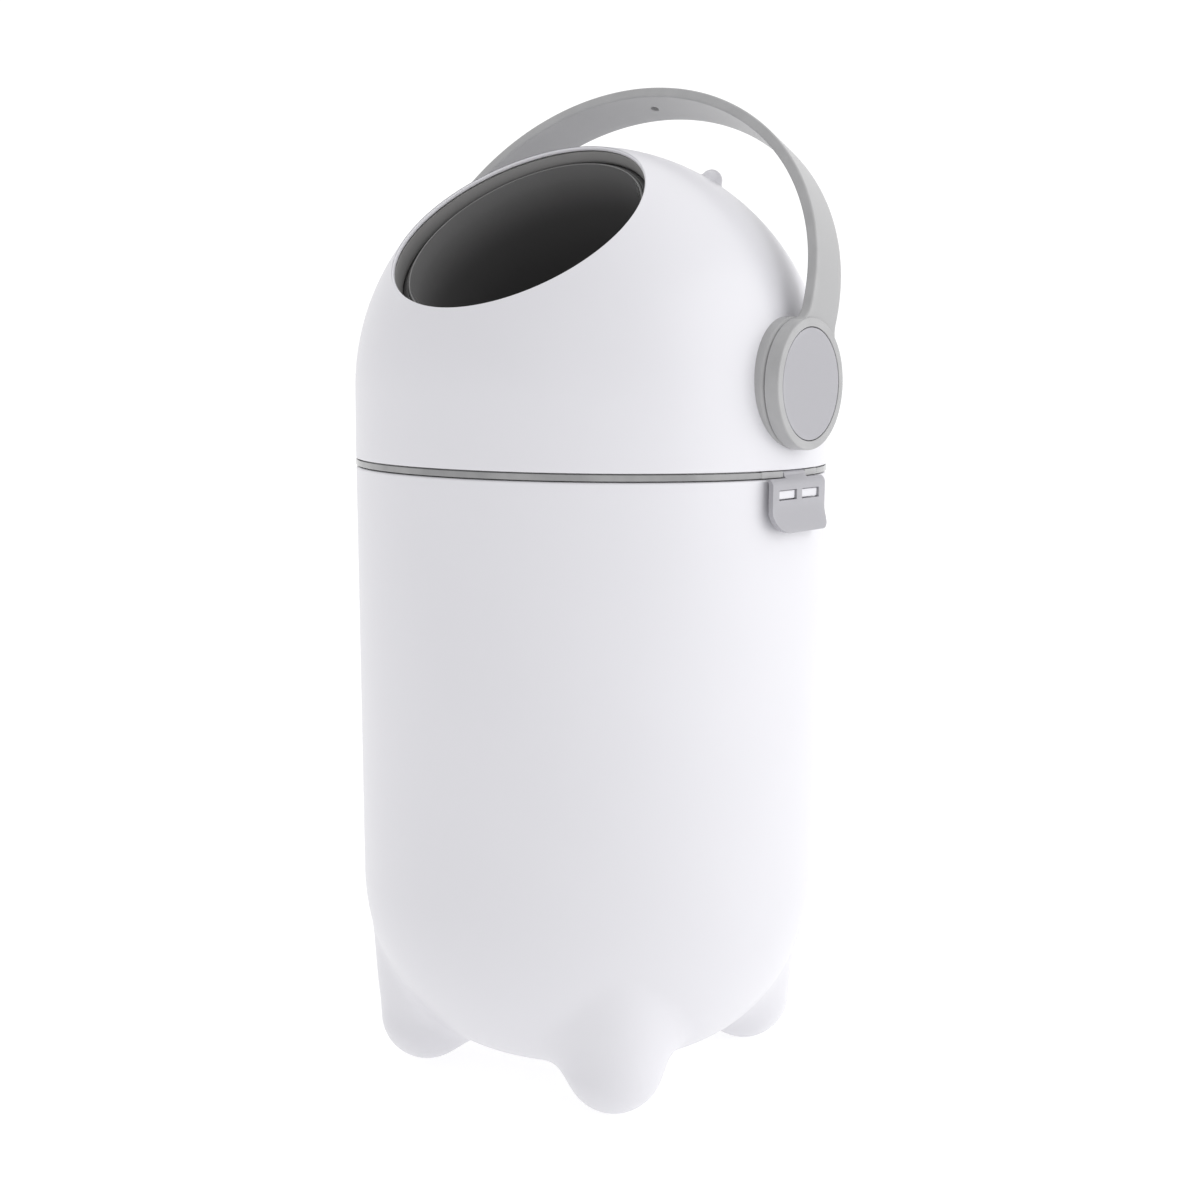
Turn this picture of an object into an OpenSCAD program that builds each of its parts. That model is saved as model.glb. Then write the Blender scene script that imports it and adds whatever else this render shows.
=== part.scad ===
// Nappy bin: bucket, lift-off dome head and a drum that tips its load when the handle swings over.
// Millimetres. Origin on the floor under the middle, front towards -Y, up is +Z.

/* [Bucket] */
// Outer radius at the seam between bucket and head
body_r = 140; // [130:1:150]
// Height of the seam above the floor
seam_z = 368; // [350:1:400]
// How much the radius shrinks from the rim to the round bottom
body_taper = 2.7; // [0:0.1:5]
// Wall thickness of bucket and dome
wall = 2.8; // [2.4:0.1:3.2]
// Height at which the round bottom starts
bowl_top_z = 121; // [100:1:140]
// Height of the underside between the feet
bowl_bottom_z = 16; // [12:1:24]
// Radius of the flat middle of the bottom
bowl_flat_r = 57; // [40:1:70]

/* [Feet] */
// Radius of each foot's round tip
foot_r = 28.5; // [26:0.5:31]
// Radius of each foot where it meets the body
foot_top_r = 33; // [31:0.5:35]
// Distance of each foot from the middle
foot_place_r = 101; // [96:1:103]

/* [Head] */
// Height of the straight part of the dome above the seam
dome_straight = 40; // [34:1:44]
// Height of the grey band
band_h = 4.4; // [4:0.1:5]
// Radius of the mouth
mouth_r = 75.5; // [70:0.5:76]
// Forward tilt of the mouth in degrees
mouth_tilt = 37.8; // [34:0.1:40]
// Radius of each small ear
ear_r = 6.4; // [5:0.1:8]

/* [Drum] */
// Height of the drum's axis above the seam
pivot_h = 47.5; // [45:0.5:50]
// Distance from the outside of the dome to the drum
drum_inset = 15; // [14:0.5:20]
// How much smaller the drum's mouth is than the dome's, in radius
drum_mouth_step = 3.5; // [3.5:0.5:9]
// Forward tilt of the drum's mouth at rest, in degrees
drum_tilt = 40.5; // [36:0.5:44]
// Radius of the stub axles
axle_r = 14; // [12:0.5:16]
// How far the handle turns the drum, in degrees
flip_travel = 139.5; // [120:0.5:140]

/* [Handle] */
// Width of the handle's band
handle_w = 31; // [26:0.5:34]
// Thickness of the handle's band
handle_t = 6.3; // [5.5:0.1:7]
// Backward lean of the handle at rest, in degrees
handle_lean = 20.5; // [16:0.5:24]
// Height of the handle's straight arms above the axis
arm_h = 42.5; // [36:0.5:50]
// Rise of the handle's arch above the arms
arch_h = 139; // [130:1:150]
// Radius of each hub
hub_r = 36.5; // [34:0.5:38]
// Width of the hub's ring round its cap
hub_ring_w = 5; // [4:0.2:8]

/* [Latches] */
// Half the width of a latch
latch_half_w = 29; // [26:0.5:30]
// How far a latch hangs down from the seam
latch_drop = 34.5; // [30:0.5:38]
// Width of each window
window_w = 19.2; // [16:0.2:20]
// Height of each window
window_h = 4.8; // [4:0.2:6]

/* [Fits] */
// Gap between pieces that move past each other
gap = 0.3; // [0.3:0.05:0.5]
// Radial play of an axle in its bush and of a pin in its bore
play = 0.05; // [0.02:0.01:0.1]

/* [Hidden] */
$fn = 192;

white = [0.95, 0.95, 0.96];
light_grey = [0.72, 0.72, 0.74];
mid_grey = [0.60, 0.60, 0.62];
dark_grey = [0.20, 0.20, 0.21];
rubber = [0.13, 0.12, 0.12];
steel = [0.70, 0.71, 0.73];

eps = 0.01;
far = 400;
cut = 1;
cut_l = 20;

// Bucket
rim_z = seam_z - band_h - gap;
rim_bead_r = wall / 2;
low_r = body_r - body_taper;
rim_inset = 0.2;
rim_r = body_r - rim_inset;
bowl_steps = 14;
foot_rest_depth = 0.4;
foot_tip_z = foot_r - foot_rest_depth;
foot_top_z = 96;
foot_angles = [45, 135, 225, 315];
ledge_drop = 22;
ledge_z = seam_z - ledge_drop;
ledge_w = 8;
ledge_r = body_r - ledge_w;
ledge_h = 4;
ledge_edge = 1.5;
ledge_slope = 7;

// Bag ring
bag_ring_fit = 0.7;
bag_ring_r = rim_r - wall - bag_ring_fit;
bag_ring_w = 12;
bag_ring_in_r = body_r - bag_ring_w;
bag_ring_h = 6;
bag_ring_t = 2;

// Head
dome_z = seam_z + dome_straight;
dome_in_r = body_r - wall;
pivot_z = seam_z + pivot_h;
drum_r = body_r - drum_inset;
drum_mouth_r = mouth_r - drum_mouth_step;
lip_t = wall;
lip_end_gap = 4;
lip_end_r = drum_r + lip_end_gap;
rim_t = 1;
liner_t = 1;
seal_lap = 0.2;
seal_w = 3.3;
seal_r = mouth_r + seal_w;
skirt_t = 2.6;
skirt_inset = 4.8;
skirt_r = body_r - skirt_inset;
band_in_r = skirt_r - skirt_t;
spigot_fit = 0.2;
spigot_r = dome_in_r - spigot_fit;
spigot_h = 8;
spigot_top_z = seam_z + spigot_h;
band_groove = 0.5;
band_groove_h = 0.6;
band_chamfer_h = 0.3;
floor_drop = 8;
floor_t = 3;
floor_top_z = seam_z - floor_drop;
floor_z = floor_top_z - floor_t;
throat_gap = 1.3;
throat_seal_inset = 8;
throat_seal_out_r = drum_r - throat_seal_inset;
throat_seal_h = 5;
boss_inset = 12;
boss_place_r = body_r - boss_inset;
boss_r = 4;
boss_h = 26;
boss_top_z = floor_top_z + boss_h;
boss_angles = [30, 90, 150, 210, 270, 330];
rib_t = 2.4;
rib_gap = 1;
screw_r = 1.5;
screw_head_r = 3;
screw_head_h = 2;
screw_head_taper = 0.8;
screw_clear = 0.2;
head_screw_l = 16;
ear_x = 60.4;
ear_back = 33;

// Axles and bushes
bush_r = 17;
bush_flange_r = 22;
bush_inset = 11;
bush_in_x = body_r - bush_inset;
bush_flange_t = 3;
pad_r = 25;
collar_step = 0.4;
collar_x = body_r + collar_step;
collar_rim = 0.5;
collar_r = hub_r + collar_rim;
collar_chamfer = 1.5;
collar_depth = 10;
hub_t = 8.7;
hub_play = 0.1;
hub_gap = gap + hub_play;
hub_back_x = collar_x + hub_gap;
hub_x = hub_back_x + hub_t;
drum_flat = 9;
drum_end_x = drum_r - drum_flat;
drum_end_t = 3;
drum_wall = 2.5;
drum_fit = 0.1;
drum_end_lap = 5;
drum_end_r = sqrt(drum_r * drum_r - drum_end_x * drum_end_x) - drum_fit;
axle_flange_r = 24;
axle_flange_t = 3;
recess_depth = 3.1;
recess_x = hub_x - recess_depth;
cap_gap = 0.3;
cap_r = hub_r - hub_ring_w - cap_gap;
axle_end_gap = 0.9;
axle_end_x = recess_x - axle_end_gap;
axle_flat = 11;
stop_in_r = 17.5;
stop_out_r = 21.5;
stop_sink = 0.5;
stop_l = 6.5;
stop_x = bush_in_x - stop_l;
lug_half_a = 8;
stop_block_a = 14;
stop_clear_a = 1.5;
lug_angle = 90;
lug_gap = 0.5;
drum_screw_place_r = 19.5;
drum_screw_angles = [0, 120, 240];
drum_screw_l = 7;
hub_screw_r = 2.5;
hub_screw_head_r = 5;
hub_screw_head_h = 1.4;
hub_screw_l = 22;

// Drum
drum_mouth_h = sqrt(drum_r * drum_r - drum_mouth_r * drum_mouth_r);
bowl_lip_r = drum_mouth_r - gap;
bowl_t = 2.4;
bowl_in_r = bowl_lip_r - bowl_t - gap;
bowl_draft = 7;
bowl_low_r = bowl_in_r - bowl_draft;
bowl_depth = 145;
bowl_round_r = 34;
bowl_collar_w = 5;
bowl_collar_r = drum_mouth_r + bowl_collar_w;
bowl_collar_t = 4;
bowl_lip_h = 12;
bowl_collar_h = 14;

// Handle
arch_steps = 60;
arm_step = 1.2;
arm_x = hub_x - arm_step;
fillet_r = 13;
cap_t = 2.7;
cap_crown = 0.5;
cap_steps = 6;
cap_head_gap = 1;
dimple_r = 2.6;
dimple_depth = 3;

// Latches
pin_inset = 2;
pin_drop = 2.3;
pin_x = body_r - pin_inset;
pin_z = seam_z - pin_drop;
pin_r = 0.9;
knuckle_r = 1.9;
knuckle_half_l = 11.7;
pin_lap = 2.3;
pin_half_l = knuckle_half_l + pin_lap;
base_rim = 1;
base_half_w = latch_half_w + base_rim;
base_fit = 0.2;
base_slot = knuckle_half_l + gap;
base_clear_r = 2.8;
base_web = 0.5;
neck_t = 1.6;
tab_out = 3.4;
tab_x = body_r + tab_out;
tab_t = 2.9;
latch_low_z = seam_z - latch_drop;
flare_drop = 23;
flare_z = seam_z - flare_drop;
flare_out = 2.7;
tab_edge = 0.8;
latch_front_r = 14;
latch_rear_r = 5;
window_drop = 11;
window_top_z = seam_z - window_drop;
window_gap = 5.8;
tooth_edge = 0.5;
tooth_l = 3;

// Points from the middle of the bottom, round the bowl, up to the rim, moved inward by inset
function bucket_outline(inset) = concat(
    [[0, bowl_bottom_z + inset]],
    [for (i = [bowl_steps:-1:0])
        let (a = 90 * i / bowl_steps)
        [bowl_flat_r + (low_r - inset - bowl_flat_r) * cos(a),
         bowl_top_z - (bowl_top_z - bowl_bottom_z - inset) * sin(a)]],
    [[rim_r - inset, rim_z - rim_bead_r], [0, rim_z - rim_bead_r]]);

// Half arch in the XZ plane: up the arm and round to the crown, moved inward by inset
function arch_side(inset) = concat(
    [[arm_x - inset, 0]],
    [for (i = [0:arch_steps])
        let (a = 90 * i / arch_steps)
        [(arm_x - inset) * cos(a), arm_h + (arch_h - inset) * sin(a)]]);

function reversed(points) = [for (i = [len(points) - 1:-1:0]) points[i]];
function mirrored(points) = [for (p = points) [-p[0], p[1]]];

// Repeats its children on the +X side, or mirrored on the -X side
module side(s) {
    if (s > 0) children();
    else mirror([1, 0, 0]) children();
}

// Cylinder along X from x0 to x1
module bar_x(r, x0, x1) {
    translate([x0, 0, 0]) rotate([0, 90, 0]) cylinder(r = r, h = x1 - x0);
}

// Cylinder along Y, centred
module bar_y(r, half_l) {
    rotate([90, 0, 0]) cylinder(r = r, h = 2 * half_l, center = true);
}

// Tube round Z
module tube(r_out, r_in, h) {
    difference() {
        cylinder(r = r_out, h = h);
        translate([0, 0, -eps]) cylinder(r = r_in, h = h + 2 * eps);
    }
}

// Straight-sided dome of radius r, from the height low_z up
module dome_solid(r, low_z) {
    rotate_extrude() {
        translate([0, low_z]) square([r, dome_z - low_z]);
        intersection() {
            translate([0, dome_z]) circle(r);
            translate([0, dome_z - eps]) square([far, far]);
        }
    }
}

// Foot: a ball with a cone that widens into the body
module foot(inset) {
    translate([0, 0, foot_tip_z]) sphere(r = foot_r - inset);
    translate([0, 0, foot_tip_z])
        cylinder(r1 = foot_r - inset, r2 = foot_top_r - inset, h = foot_top_z - foot_tip_z);
}

module feet(inset) {
    for (a = foot_angles) rotate([0, 0, a]) translate([foot_place_r, 0, 0]) foot(inset);
}

// Two catch teeth behind the windows of a latch
module catch_teeth() {
    tooth_x = tab_x - tab_t - gap;
    for (s = [-1, 1])
        translate([tooth_x - tooth_l, s * (window_gap + window_w) / 2 - (window_w / 2 - tooth_edge),
                   window_top_z - window_h + tooth_edge])
            cube([tooth_l, window_w - 2 * tooth_edge, window_h - 2 * tooth_edge]);
}

module bucket_shell() {
    color(white) difference() {
        union() {
            rotate_extrude() polygon(bucket_outline(0));
            intersection() {
                feet(0);
                translate([-far / 2, -far / 2, 0]) cube([far, far, far]);
            }
            translate([0, 0, rim_z - rim_bead_r])
                rotate_extrude() translate([rim_r - rim_bead_r, 0]) circle(rim_bead_r);
            for (s = [-1, 1]) side(s) catch_teeth();
        }
        difference() {
            union() {
                rotate_extrude() polygon(bucket_outline(wall));
                feet(wall);
                translate([0, 0, rim_z - rim_bead_r - eps])
                    cylinder(r = rim_r - 2 * rim_bead_r, h = 2 * rim_bead_r);
            }
            translate([0, 0, ledge_z - ledge_h]) rotate_extrude()
                polygon([[ledge_r, ledge_h], [ledge_r, ledge_h - ledge_edge],
                         [body_r, -ledge_slope], [body_r, ledge_h]]);
        }
    }
}

module bag_ring() {
    color(light_grey) translate([0, 0, ledge_z]) {
        tube(bag_ring_r, bag_ring_in_r, bag_ring_t);
        tube(bag_ring_in_r + bag_ring_t, bag_ring_in_r, bag_ring_h);
    }
}

// Shapes round the mouth's own axis, which tilts forward through the dome's centre
module at_mouth() {
    translate([0, 0, dome_z]) rotate([mouth_tilt, 0, 0]) children();
}

// Shapes round the drum's mouth axis at rest
module at_drum() {
    translate([0, 0, pivot_z]) rotate([drum_tilt, 0, 0]) children();
}

module ear(s) {
    height = sqrt(body_r * body_r - ear_x * ear_x - ear_back * ear_back);
    translate([s * ear_x, ear_back, dome_z + height]) sphere(r = ear_r);
}

// Screw boss with a rib to the wall
module boss() {
    translate([boss_place_r, 0, floor_top_z]) cylinder(r = boss_r, h = boss_top_z - floor_top_z, $fn = 48);
    translate([boss_place_r, -rib_t / 2, spigot_top_z + rib_gap])
        cube([body_r - boss_place_r - wall / 2, rib_t, boss_top_z - spigot_top_z - rib_gap]);
}

module dome_shell() {
    color(white) difference() {
        union() {
            difference() {
                dome_solid(body_r, seam_z);
                dome_solid(dome_in_r, seam_z - 1);
            }
            for (s = [-1, 1]) ear(s);
            for (a = boss_angles) rotate([0, 0, a]) boss();
            intersection() {
                dome_solid(body_r - wall / 2, seam_z);
                translate([0, 0, pivot_z]) union() {
                    bar_x(pad_r, bush_in_x + bush_flange_t, body_r);
                    bar_x(pad_r, -body_r, -bush_in_x - bush_flange_t);
                }
            }
            intersection() {
                dome_solid(body_r - wall / 2, seam_z);
                difference() {
                    at_mouth() tube(mouth_r + lip_t, mouth_r + liner_t, far);
                    translate([0, 0, pivot_z]) sphere(r = lip_end_r);
                }
            }
        }
        at_mouth() cylinder(r = mouth_r, h = far);
        intersection() {
            at_mouth() cylinder(r = mouth_r + liner_t, h = far);
            dome_solid(body_r - rim_t, seam_z);
        }
        translate([0, 0, pivot_z]) bar_x(bush_r, -far, far);
        for (a = boss_angles) rotate([0, 0, a])
            translate([boss_place_r, 0, floor_top_z - eps])
                cylinder(r = screw_r + play, h = head_screw_l - floor_t + 1, $fn = 32);
    }
}

// Space that a latch base takes out of the band
module latch_cutout(half_w) {
    translate([skirt_r, -half_w, seam_z - band_h - cut]) cube([cut_l, 2 * half_w, band_h + 2 * cut]);
}

module band_ring() {
    low_z = seam_z - band_h;
    groove_r = body_r - band_groove;
    face_h = band_groove_h + band_chamfer_h;
    color(mid_grey) difference() {
        rotate_extrude() polygon([
            [band_in_r, floor_top_z], [skirt_r, floor_top_z], [skirt_r, low_z],
            [groove_r, low_z], [groove_r, low_z + band_groove_h],
            [body_r, low_z + face_h], [body_r, seam_z - face_h],
            [groove_r, seam_z - band_groove_h], [groove_r, seam_z],
            [spigot_r, seam_z], [spigot_r, spigot_top_z], [band_in_r, spigot_top_z]]);
        for (s = [-1, 1]) side(s) difference() {
            latch_cutout(base_half_w + base_fit);
            cylinder(r = skirt_r, h = far);
        }
    }
}

module head_floor() {
    color(light_grey) difference() {
        translate([0, 0, floor_z]) cylinder(r = skirt_r, h = floor_t);
        translate([0, 0, pivot_z]) sphere(r = drum_r + throat_gap);
        for (a = boss_angles) rotate([0, 0, a]) translate([boss_place_r, 0, floor_z - cut])
            cylinder(r = screw_r + screw_clear, h = floor_t + 2 * cut, $fn = 32);
    }
}

module throat_seal() {
    color(rubber) difference() {
        translate([0, 0, floor_top_z]) cylinder(r = throat_seal_out_r, h = throat_seal_h);
        translate([0, 0, pivot_z]) sphere(r = drum_r + gap);
    }
}

module mouth_seal() {
    color(rubber) difference() {
        union() {
            intersection() {
                at_mouth() tube(seal_r, mouth_r + seal_lap, far);
                translate([0, 0, pivot_z]) sphere(r = lip_end_r);
            }
            intersection() {
                at_mouth() tube(mouth_r + liner_t, mouth_r + seal_lap, far);
                dome_solid(body_r - rim_t, seam_z);
            }
        }
        translate([0, 0, pivot_z]) sphere(r = drum_r + gap);
    }
}

// Screw along Z with its head below z = 0
module screw(r, l, head_r, head_h) {
    difference() {
        union() {
            cylinder(r = r, h = l, $fn = 32);
            translate([0, 0, -head_h]) cylinder(r1 = head_r * screw_head_taper, r2 = head_r, h = head_h, $fn = 48);
        }
        for (a = [0, 90]) rotate([0, 0, a]) translate([-head_r / 2, -head_r / 8, -head_h - eps])
            cube([head_r, head_r / 4, head_h * 0.6]);
    }
}

module head_screws() {
    color(steel) for (a = boss_angles) rotate([0, 0, a]) translate([boss_place_r, 0, floor_z])
        screw(screw_r, head_screw_l, screw_head_r, screw_head_h);
}

module collar(s) {
    color(mid_grey) side(s) difference() {
        translate([0, 0, pivot_z]) {
            bar_x(collar_r, body_r - collar_depth, collar_x - collar_chamfer);
            translate([collar_x - collar_chamfer, 0, 0]) rotate([0, 90, 0])
                cylinder(r1 = collar_r, r2 = collar_r - collar_chamfer, h = collar_chamfer);
        }
        dome_solid(body_r, seam_z - 1);
        translate([0, 0, pivot_z]) bar_x(bush_r, 0, far);
    }
}

// Ring sector round X from the radius in_r out, centred on the angle mid
module stop_sector(x0, x1, in_r, mid, half_a) {
    translate([x0, 0, 0]) rotate([mid - 90, 0, 0]) rotate([0, 90, 0]) linear_extrude(x1 - x0)
        intersection() {
            difference() {
                circle(stop_out_r);
                circle(in_r);
            }
            polygon([[0, 0], for (a = [-half_a, 0, half_a]) [-far * cos(a), far * sin(a)]]);
        }
}

module bush(s) {
    free_a = lug_half_a + stop_clear_a + stop_block_a / 2;
    color(light_grey) side(s) translate([0, 0, pivot_z]) {
        difference() {
            union() {
                bar_x(bush_r, bush_in_x, collar_x);
                bar_x(bush_flange_r, bush_in_x, bush_in_x + bush_flange_t);
            }
            bar_x(axle_r + play, 0, far);
        }
        for (a = [lug_angle - free_a, lug_angle + flip_travel + free_a])
            stop_sector(stop_x, bush_in_x + stop_sink, stop_in_r, a, stop_block_a / 2);
    }
}

module latch_base(s) {
    color(light_grey) side(s) difference() {
        intersection() {
            translate([0, 0, seam_z - band_h + gap]) tube(body_r, skirt_r, band_h - 2 * gap);
            latch_cutout(base_half_w);
        }
        translate([skirt_r + base_web, -base_slot, seam_z - band_h - cut])
            cube([cut_l, 2 * base_slot, band_h + 2 * cut]);
        translate([pin_x, 0, pin_z]) bar_y(pin_r, pin_half_l);
    }
}

module latch_pins() {
    color(steel) for (s = [-1, 1]) side(s) translate([pin_x, 0, pin_z]) bar_y(pin_r, pin_half_l);
}

// Side outline of a latch in the XZ plane: neck at 45 degrees, flat tab, flared lower edge
module latch_profile() {
    line = pin_x + pin_z;
    half = neck_t / sqrt(2);
    tab_in_x = tab_x - tab_t;
    polygon([
        [pin_x + half / 2, pin_z + half / 2], [tab_x, line + half - tab_x],
        [tab_x, flare_z], [tab_x + flare_out, latch_low_z + tab_edge],
        [tab_x + flare_out - tab_edge, latch_low_z], [tab_in_x + flare_out, latch_low_z],
        [tab_in_x, flare_z], [tab_in_x, line - half - tab_in_x], [pin_x - half / 2, pin_z - half / 2]]);
}

// Front outline of a latch in the YZ plane, with a large round corner in front and a small one behind
module latch_front() {
    low = latch_low_z + latch_front_r;
    small = latch_low_z + latch_rear_r;
    translate([-latch_half_w, low]) square([2 * latch_half_w, seam_z - low]);
    translate([-latch_half_w + latch_front_r, small])
        square([2 * latch_half_w - latch_front_r, low - small + eps]);
    translate([-latch_half_w + latch_front_r, latch_low_z])
        square([2 * latch_half_w - latch_front_r - latch_rear_r, latch_rear_r + eps]);
    translate([-latch_half_w + latch_front_r, low]) circle(latch_front_r);
    translate([latch_half_w - latch_rear_r, small]) circle(latch_rear_r);
}

module latch(s) {
    color(light_grey) side(s) difference() {
        union() {
            intersection() {
                rotate([90, 0, 0]) linear_extrude(2 * latch_half_w, center = true) latch_profile();
                translate([body_r - cut_l, 0, 0]) rotate([90, 0, 90]) linear_extrude(2 * cut_l) latch_front();
            }
            translate([pin_x, 0, pin_z]) bar_y(knuckle_r, knuckle_half_l);
        }
        translate([pin_x, 0, pin_z]) bar_y(pin_r + play, far);
        for (k = [-1, 1]) translate([pin_x, k * (knuckle_half_l + latch_half_w), pin_z])
            bar_y(base_clear_r, latch_half_w);
        for (k = [-1, 1]) translate([tab_x - cut_l / 2, k * (window_gap + window_w) / 2 - window_w / 2,
                                     window_top_z - window_h])
            cube([cut_l, window_w, window_h]);
    }
}

module drum_shell() {
    color(dark_grey) difference() {
        translate([0, 0, pivot_z]) intersection() {
            sphere(r = drum_r);
            bar_x(far, -drum_end_x, drum_end_x);
        }
        translate([0, 0, pivot_z]) intersection() {
            sphere(r = drum_r - drum_wall);
            bar_x(far, -drum_end_x + drum_end_t, drum_end_x - drum_end_t);
        }
        translate([0, 0, pivot_z]) bar_x(drum_end_r - drum_end_lap, -far, far);
        at_drum() cylinder(r = drum_mouth_r, h = far);
    }
}

// Side outline of the bowl's outer or inner face, from the middle of its floor up to the height top
module bowl_outline(inset, top) {
    low = drum_mouth_h - bowl_depth + inset;
    round_r = bowl_round_r - inset;
    hull() {
        translate([0, low]) square([bowl_low_r + bowl_t - inset - round_r, round_r]);
        intersection() {
            translate([bowl_low_r + bowl_t - inset - round_r, low + round_r]) circle(round_r);
            translate([0, low]) square([far, 2 * round_r]);
        }
        translate([0, top - 1]) square([bowl_in_r + bowl_t - inset, 1]);
    }
}

module drum_bowl() {
    color(dark_grey) at_drum() difference() {
        union() {
            intersection() {
                rotate_extrude() bowl_outline(0, drum_mouth_h);
                sphere(r = drum_r - drum_wall - drum_fit);
            }
            intersection() {
                translate([0, 0, drum_mouth_h - bowl_lip_h]) cylinder(r = bowl_lip_r, h = far);
                sphere(r = drum_r);
            }
            intersection() {
                translate([0, 0, drum_mouth_h - bowl_collar_h]) cylinder(r = bowl_collar_r, h = far);
                difference() {
                    sphere(r = drum_r - drum_wall - drum_fit);
                    sphere(r = drum_r - drum_wall - bowl_collar_t);
                }
            }
        }
        rotate_extrude() bowl_outline(bowl_t, drum_r);
    }
}

module drum_end(s) {
    color(dark_grey) side(s) translate([0, 0, pivot_z]) difference() {
        union() {
            bar_x(drum_end_r - drum_end_lap - drum_fit, drum_end_x - drum_end_t, drum_end_x);
            bar_x(drum_end_r - 1, drum_end_x - 2 * drum_end_t, drum_end_x - drum_end_t);
        }
        for (a = drum_screw_angles) rotate([a, 0, 0]) translate([0, 0, drum_screw_place_r])
            bar_x(screw_r + play, 0, far);
    }
}

module drum_screws() {
    color(steel) for (s = [-1, 1]) side(s) translate([drum_end_x + axle_flange_t, 0, pivot_z])
        for (a = drum_screw_angles) rotate([a, 0, 0]) translate([0, 0, drum_screw_place_r])
            rotate([0, -90, 0]) screw(screw_r, drum_screw_l, screw_head_r, screw_head_h);
}

module axle(s) {
    color(steel) side(s) translate([0, 0, pivot_z]) difference() {
        union() {
            bar_x(axle_flange_r, drum_end_x, drum_end_x + axle_flange_t);
            intersection() {
                bar_x(axle_r, drum_end_x, axle_end_x);
                union() {
                    bar_x(far, 0, hub_back_x);
                    translate([0, -far / 2, -axle_flat]) cube([far, far, 2 * axle_flat]);
                }
            }
            stop_sector(stop_x + lug_gap, bush_in_x - lug_gap, axle_r - stop_sink, lug_angle, lug_half_a);
        }
        for (a = drum_screw_angles) rotate([a, 0, 0]) translate([0, 0, drum_screw_place_r])
            bar_x(screw_r + play, 0, drum_end_x + axle_flange_t + eps);
        bar_x(hub_screw_r, axle_end_x - hub_screw_l, far);
    }
}

// Flat fillet between an arm and its hub, in the arm's own plane
module arm_fillet() {
    y = handle_w / 2 + fillet_r;
    z = sqrt(pow(hub_r + fillet_r, 2) - y * y);
    k = hub_r / (hub_r + fillet_r);
    difference() {
        polygon([[0, 0], [y * k, z * k], [y, z], [0, z]]);
        translate([y, z]) circle(fillet_r);
    }
}

// Handle standing upright, its axis along X through the origin
module handle_upright() {
    difference() {
        union() {
            difference() {
                rotate([90, 0, 0]) linear_extrude(handle_w, center = true)
                    polygon(concat(arch_side(0), reversed(mirrored(arch_side(0)))));
                rotate([90, 0, 0]) linear_extrude(handle_w + 2, center = true)
                    polygon(concat([[arm_x - handle_t, -1]], arch_side(handle_t),
                        reversed(mirrored(arch_side(handle_t))), [[handle_t - arm_x, -1]]));
            }
            for (s = [-1, 1]) side(s) {
                bar_x(hub_r, hub_back_x, hub_x);
                translate([arm_x - handle_t, 0, 0]) rotate([90, 0, 90]) linear_extrude(handle_t) {
                    arm_fillet();
                    mirror([1, 0]) arm_fillet();
                }
            }
        }
        for (s = [-1, 1]) side(s) {
            bar_x(cap_r + cap_gap, recess_x, far);
            bar_x(hub_screw_r + screw_clear, 0, far);
        }
        translate([0, 0, arm_h + arch_h - handle_t - 1]) cylinder(r = dimple_r, h = dimple_depth + 1, $fn = 48);
    }
}

module handle() {
    color(light_grey) translate([0, 0, pivot_z]) difference() {
        rotate([-handle_lean, 0, 0]) handle_upright();
        for (s = [-1, 1]) side(s) intersection() {
            bar_x(axle_r, hub_back_x - 1, axle_end_x);
            translate([0, -far / 2, -axle_flat]) cube([far, far, 2 * axle_flat]);
        }
    }
}

// Cap with a slightly crowned face
module hub_cap(s) {
    color(light_grey) side(s) translate([recess_x, 0, pivot_z]) rotate([0, 90, 0]) difference() {
        rotate_extrude() polygon(concat([[0, 0], [cap_r, 0]],
            [for (i = [0:cap_steps])
                let (q = 1 - i / cap_steps)
                [cap_r * q, cap_t + cap_crown * (1 - q * q)]]));
        translate([0, 0, -eps]) cylinder(r = hub_screw_head_r + cap_head_gap, h = hub_screw_head_h + screw_clear);
    }
}

module hub_screws() {
    color(steel) for (s = [-1, 1]) side(s) translate([recess_x, 0, pivot_z])
        rotate([0, -90, 0]) screw(hub_screw_r, hub_screw_l - 2, hub_screw_head_r, hub_screw_head_h);
}

bucket_shell();
bag_ring();
dome_shell();
band_ring();
head_floor();
throat_seal();
mouth_seal();
head_screws();
collar(1);  // collar_right
collar(-1);  // collar_left
bush(1);  // bush_right
bush(-1);  // bush_left
latch_base(1);  // latch_base_right
latch_base(-1);  // latch_base_left
latch_pins();
latch(1);  // latch_right
latch(-1);  // latch_left
drum_shell();
drum_bowl();
drum_end(1);  // drum_end_right
drum_end(-1);  // drum_end_left
drum_screws();
axle(1);  // axle_right
axle(-1);  // axle_left
handle();
hub_cap(1);  // hub_cap_right
hub_cap(-1);  // hub_cap_left
hub_screws();
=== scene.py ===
"""Nappy bin with a lift-off dome head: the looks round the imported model, in metres, front towards -Y."""

import logging
import math
from dataclasses import dataclass, field
from enum import Enum
from typing import Callable, Iterable, Sequence

import bmesh
import bpy
import numpy as np
from bmesh.types import BMEdge, BMesh, BMFace, BMVert
from mathutils import Matrix, Vector

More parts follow.
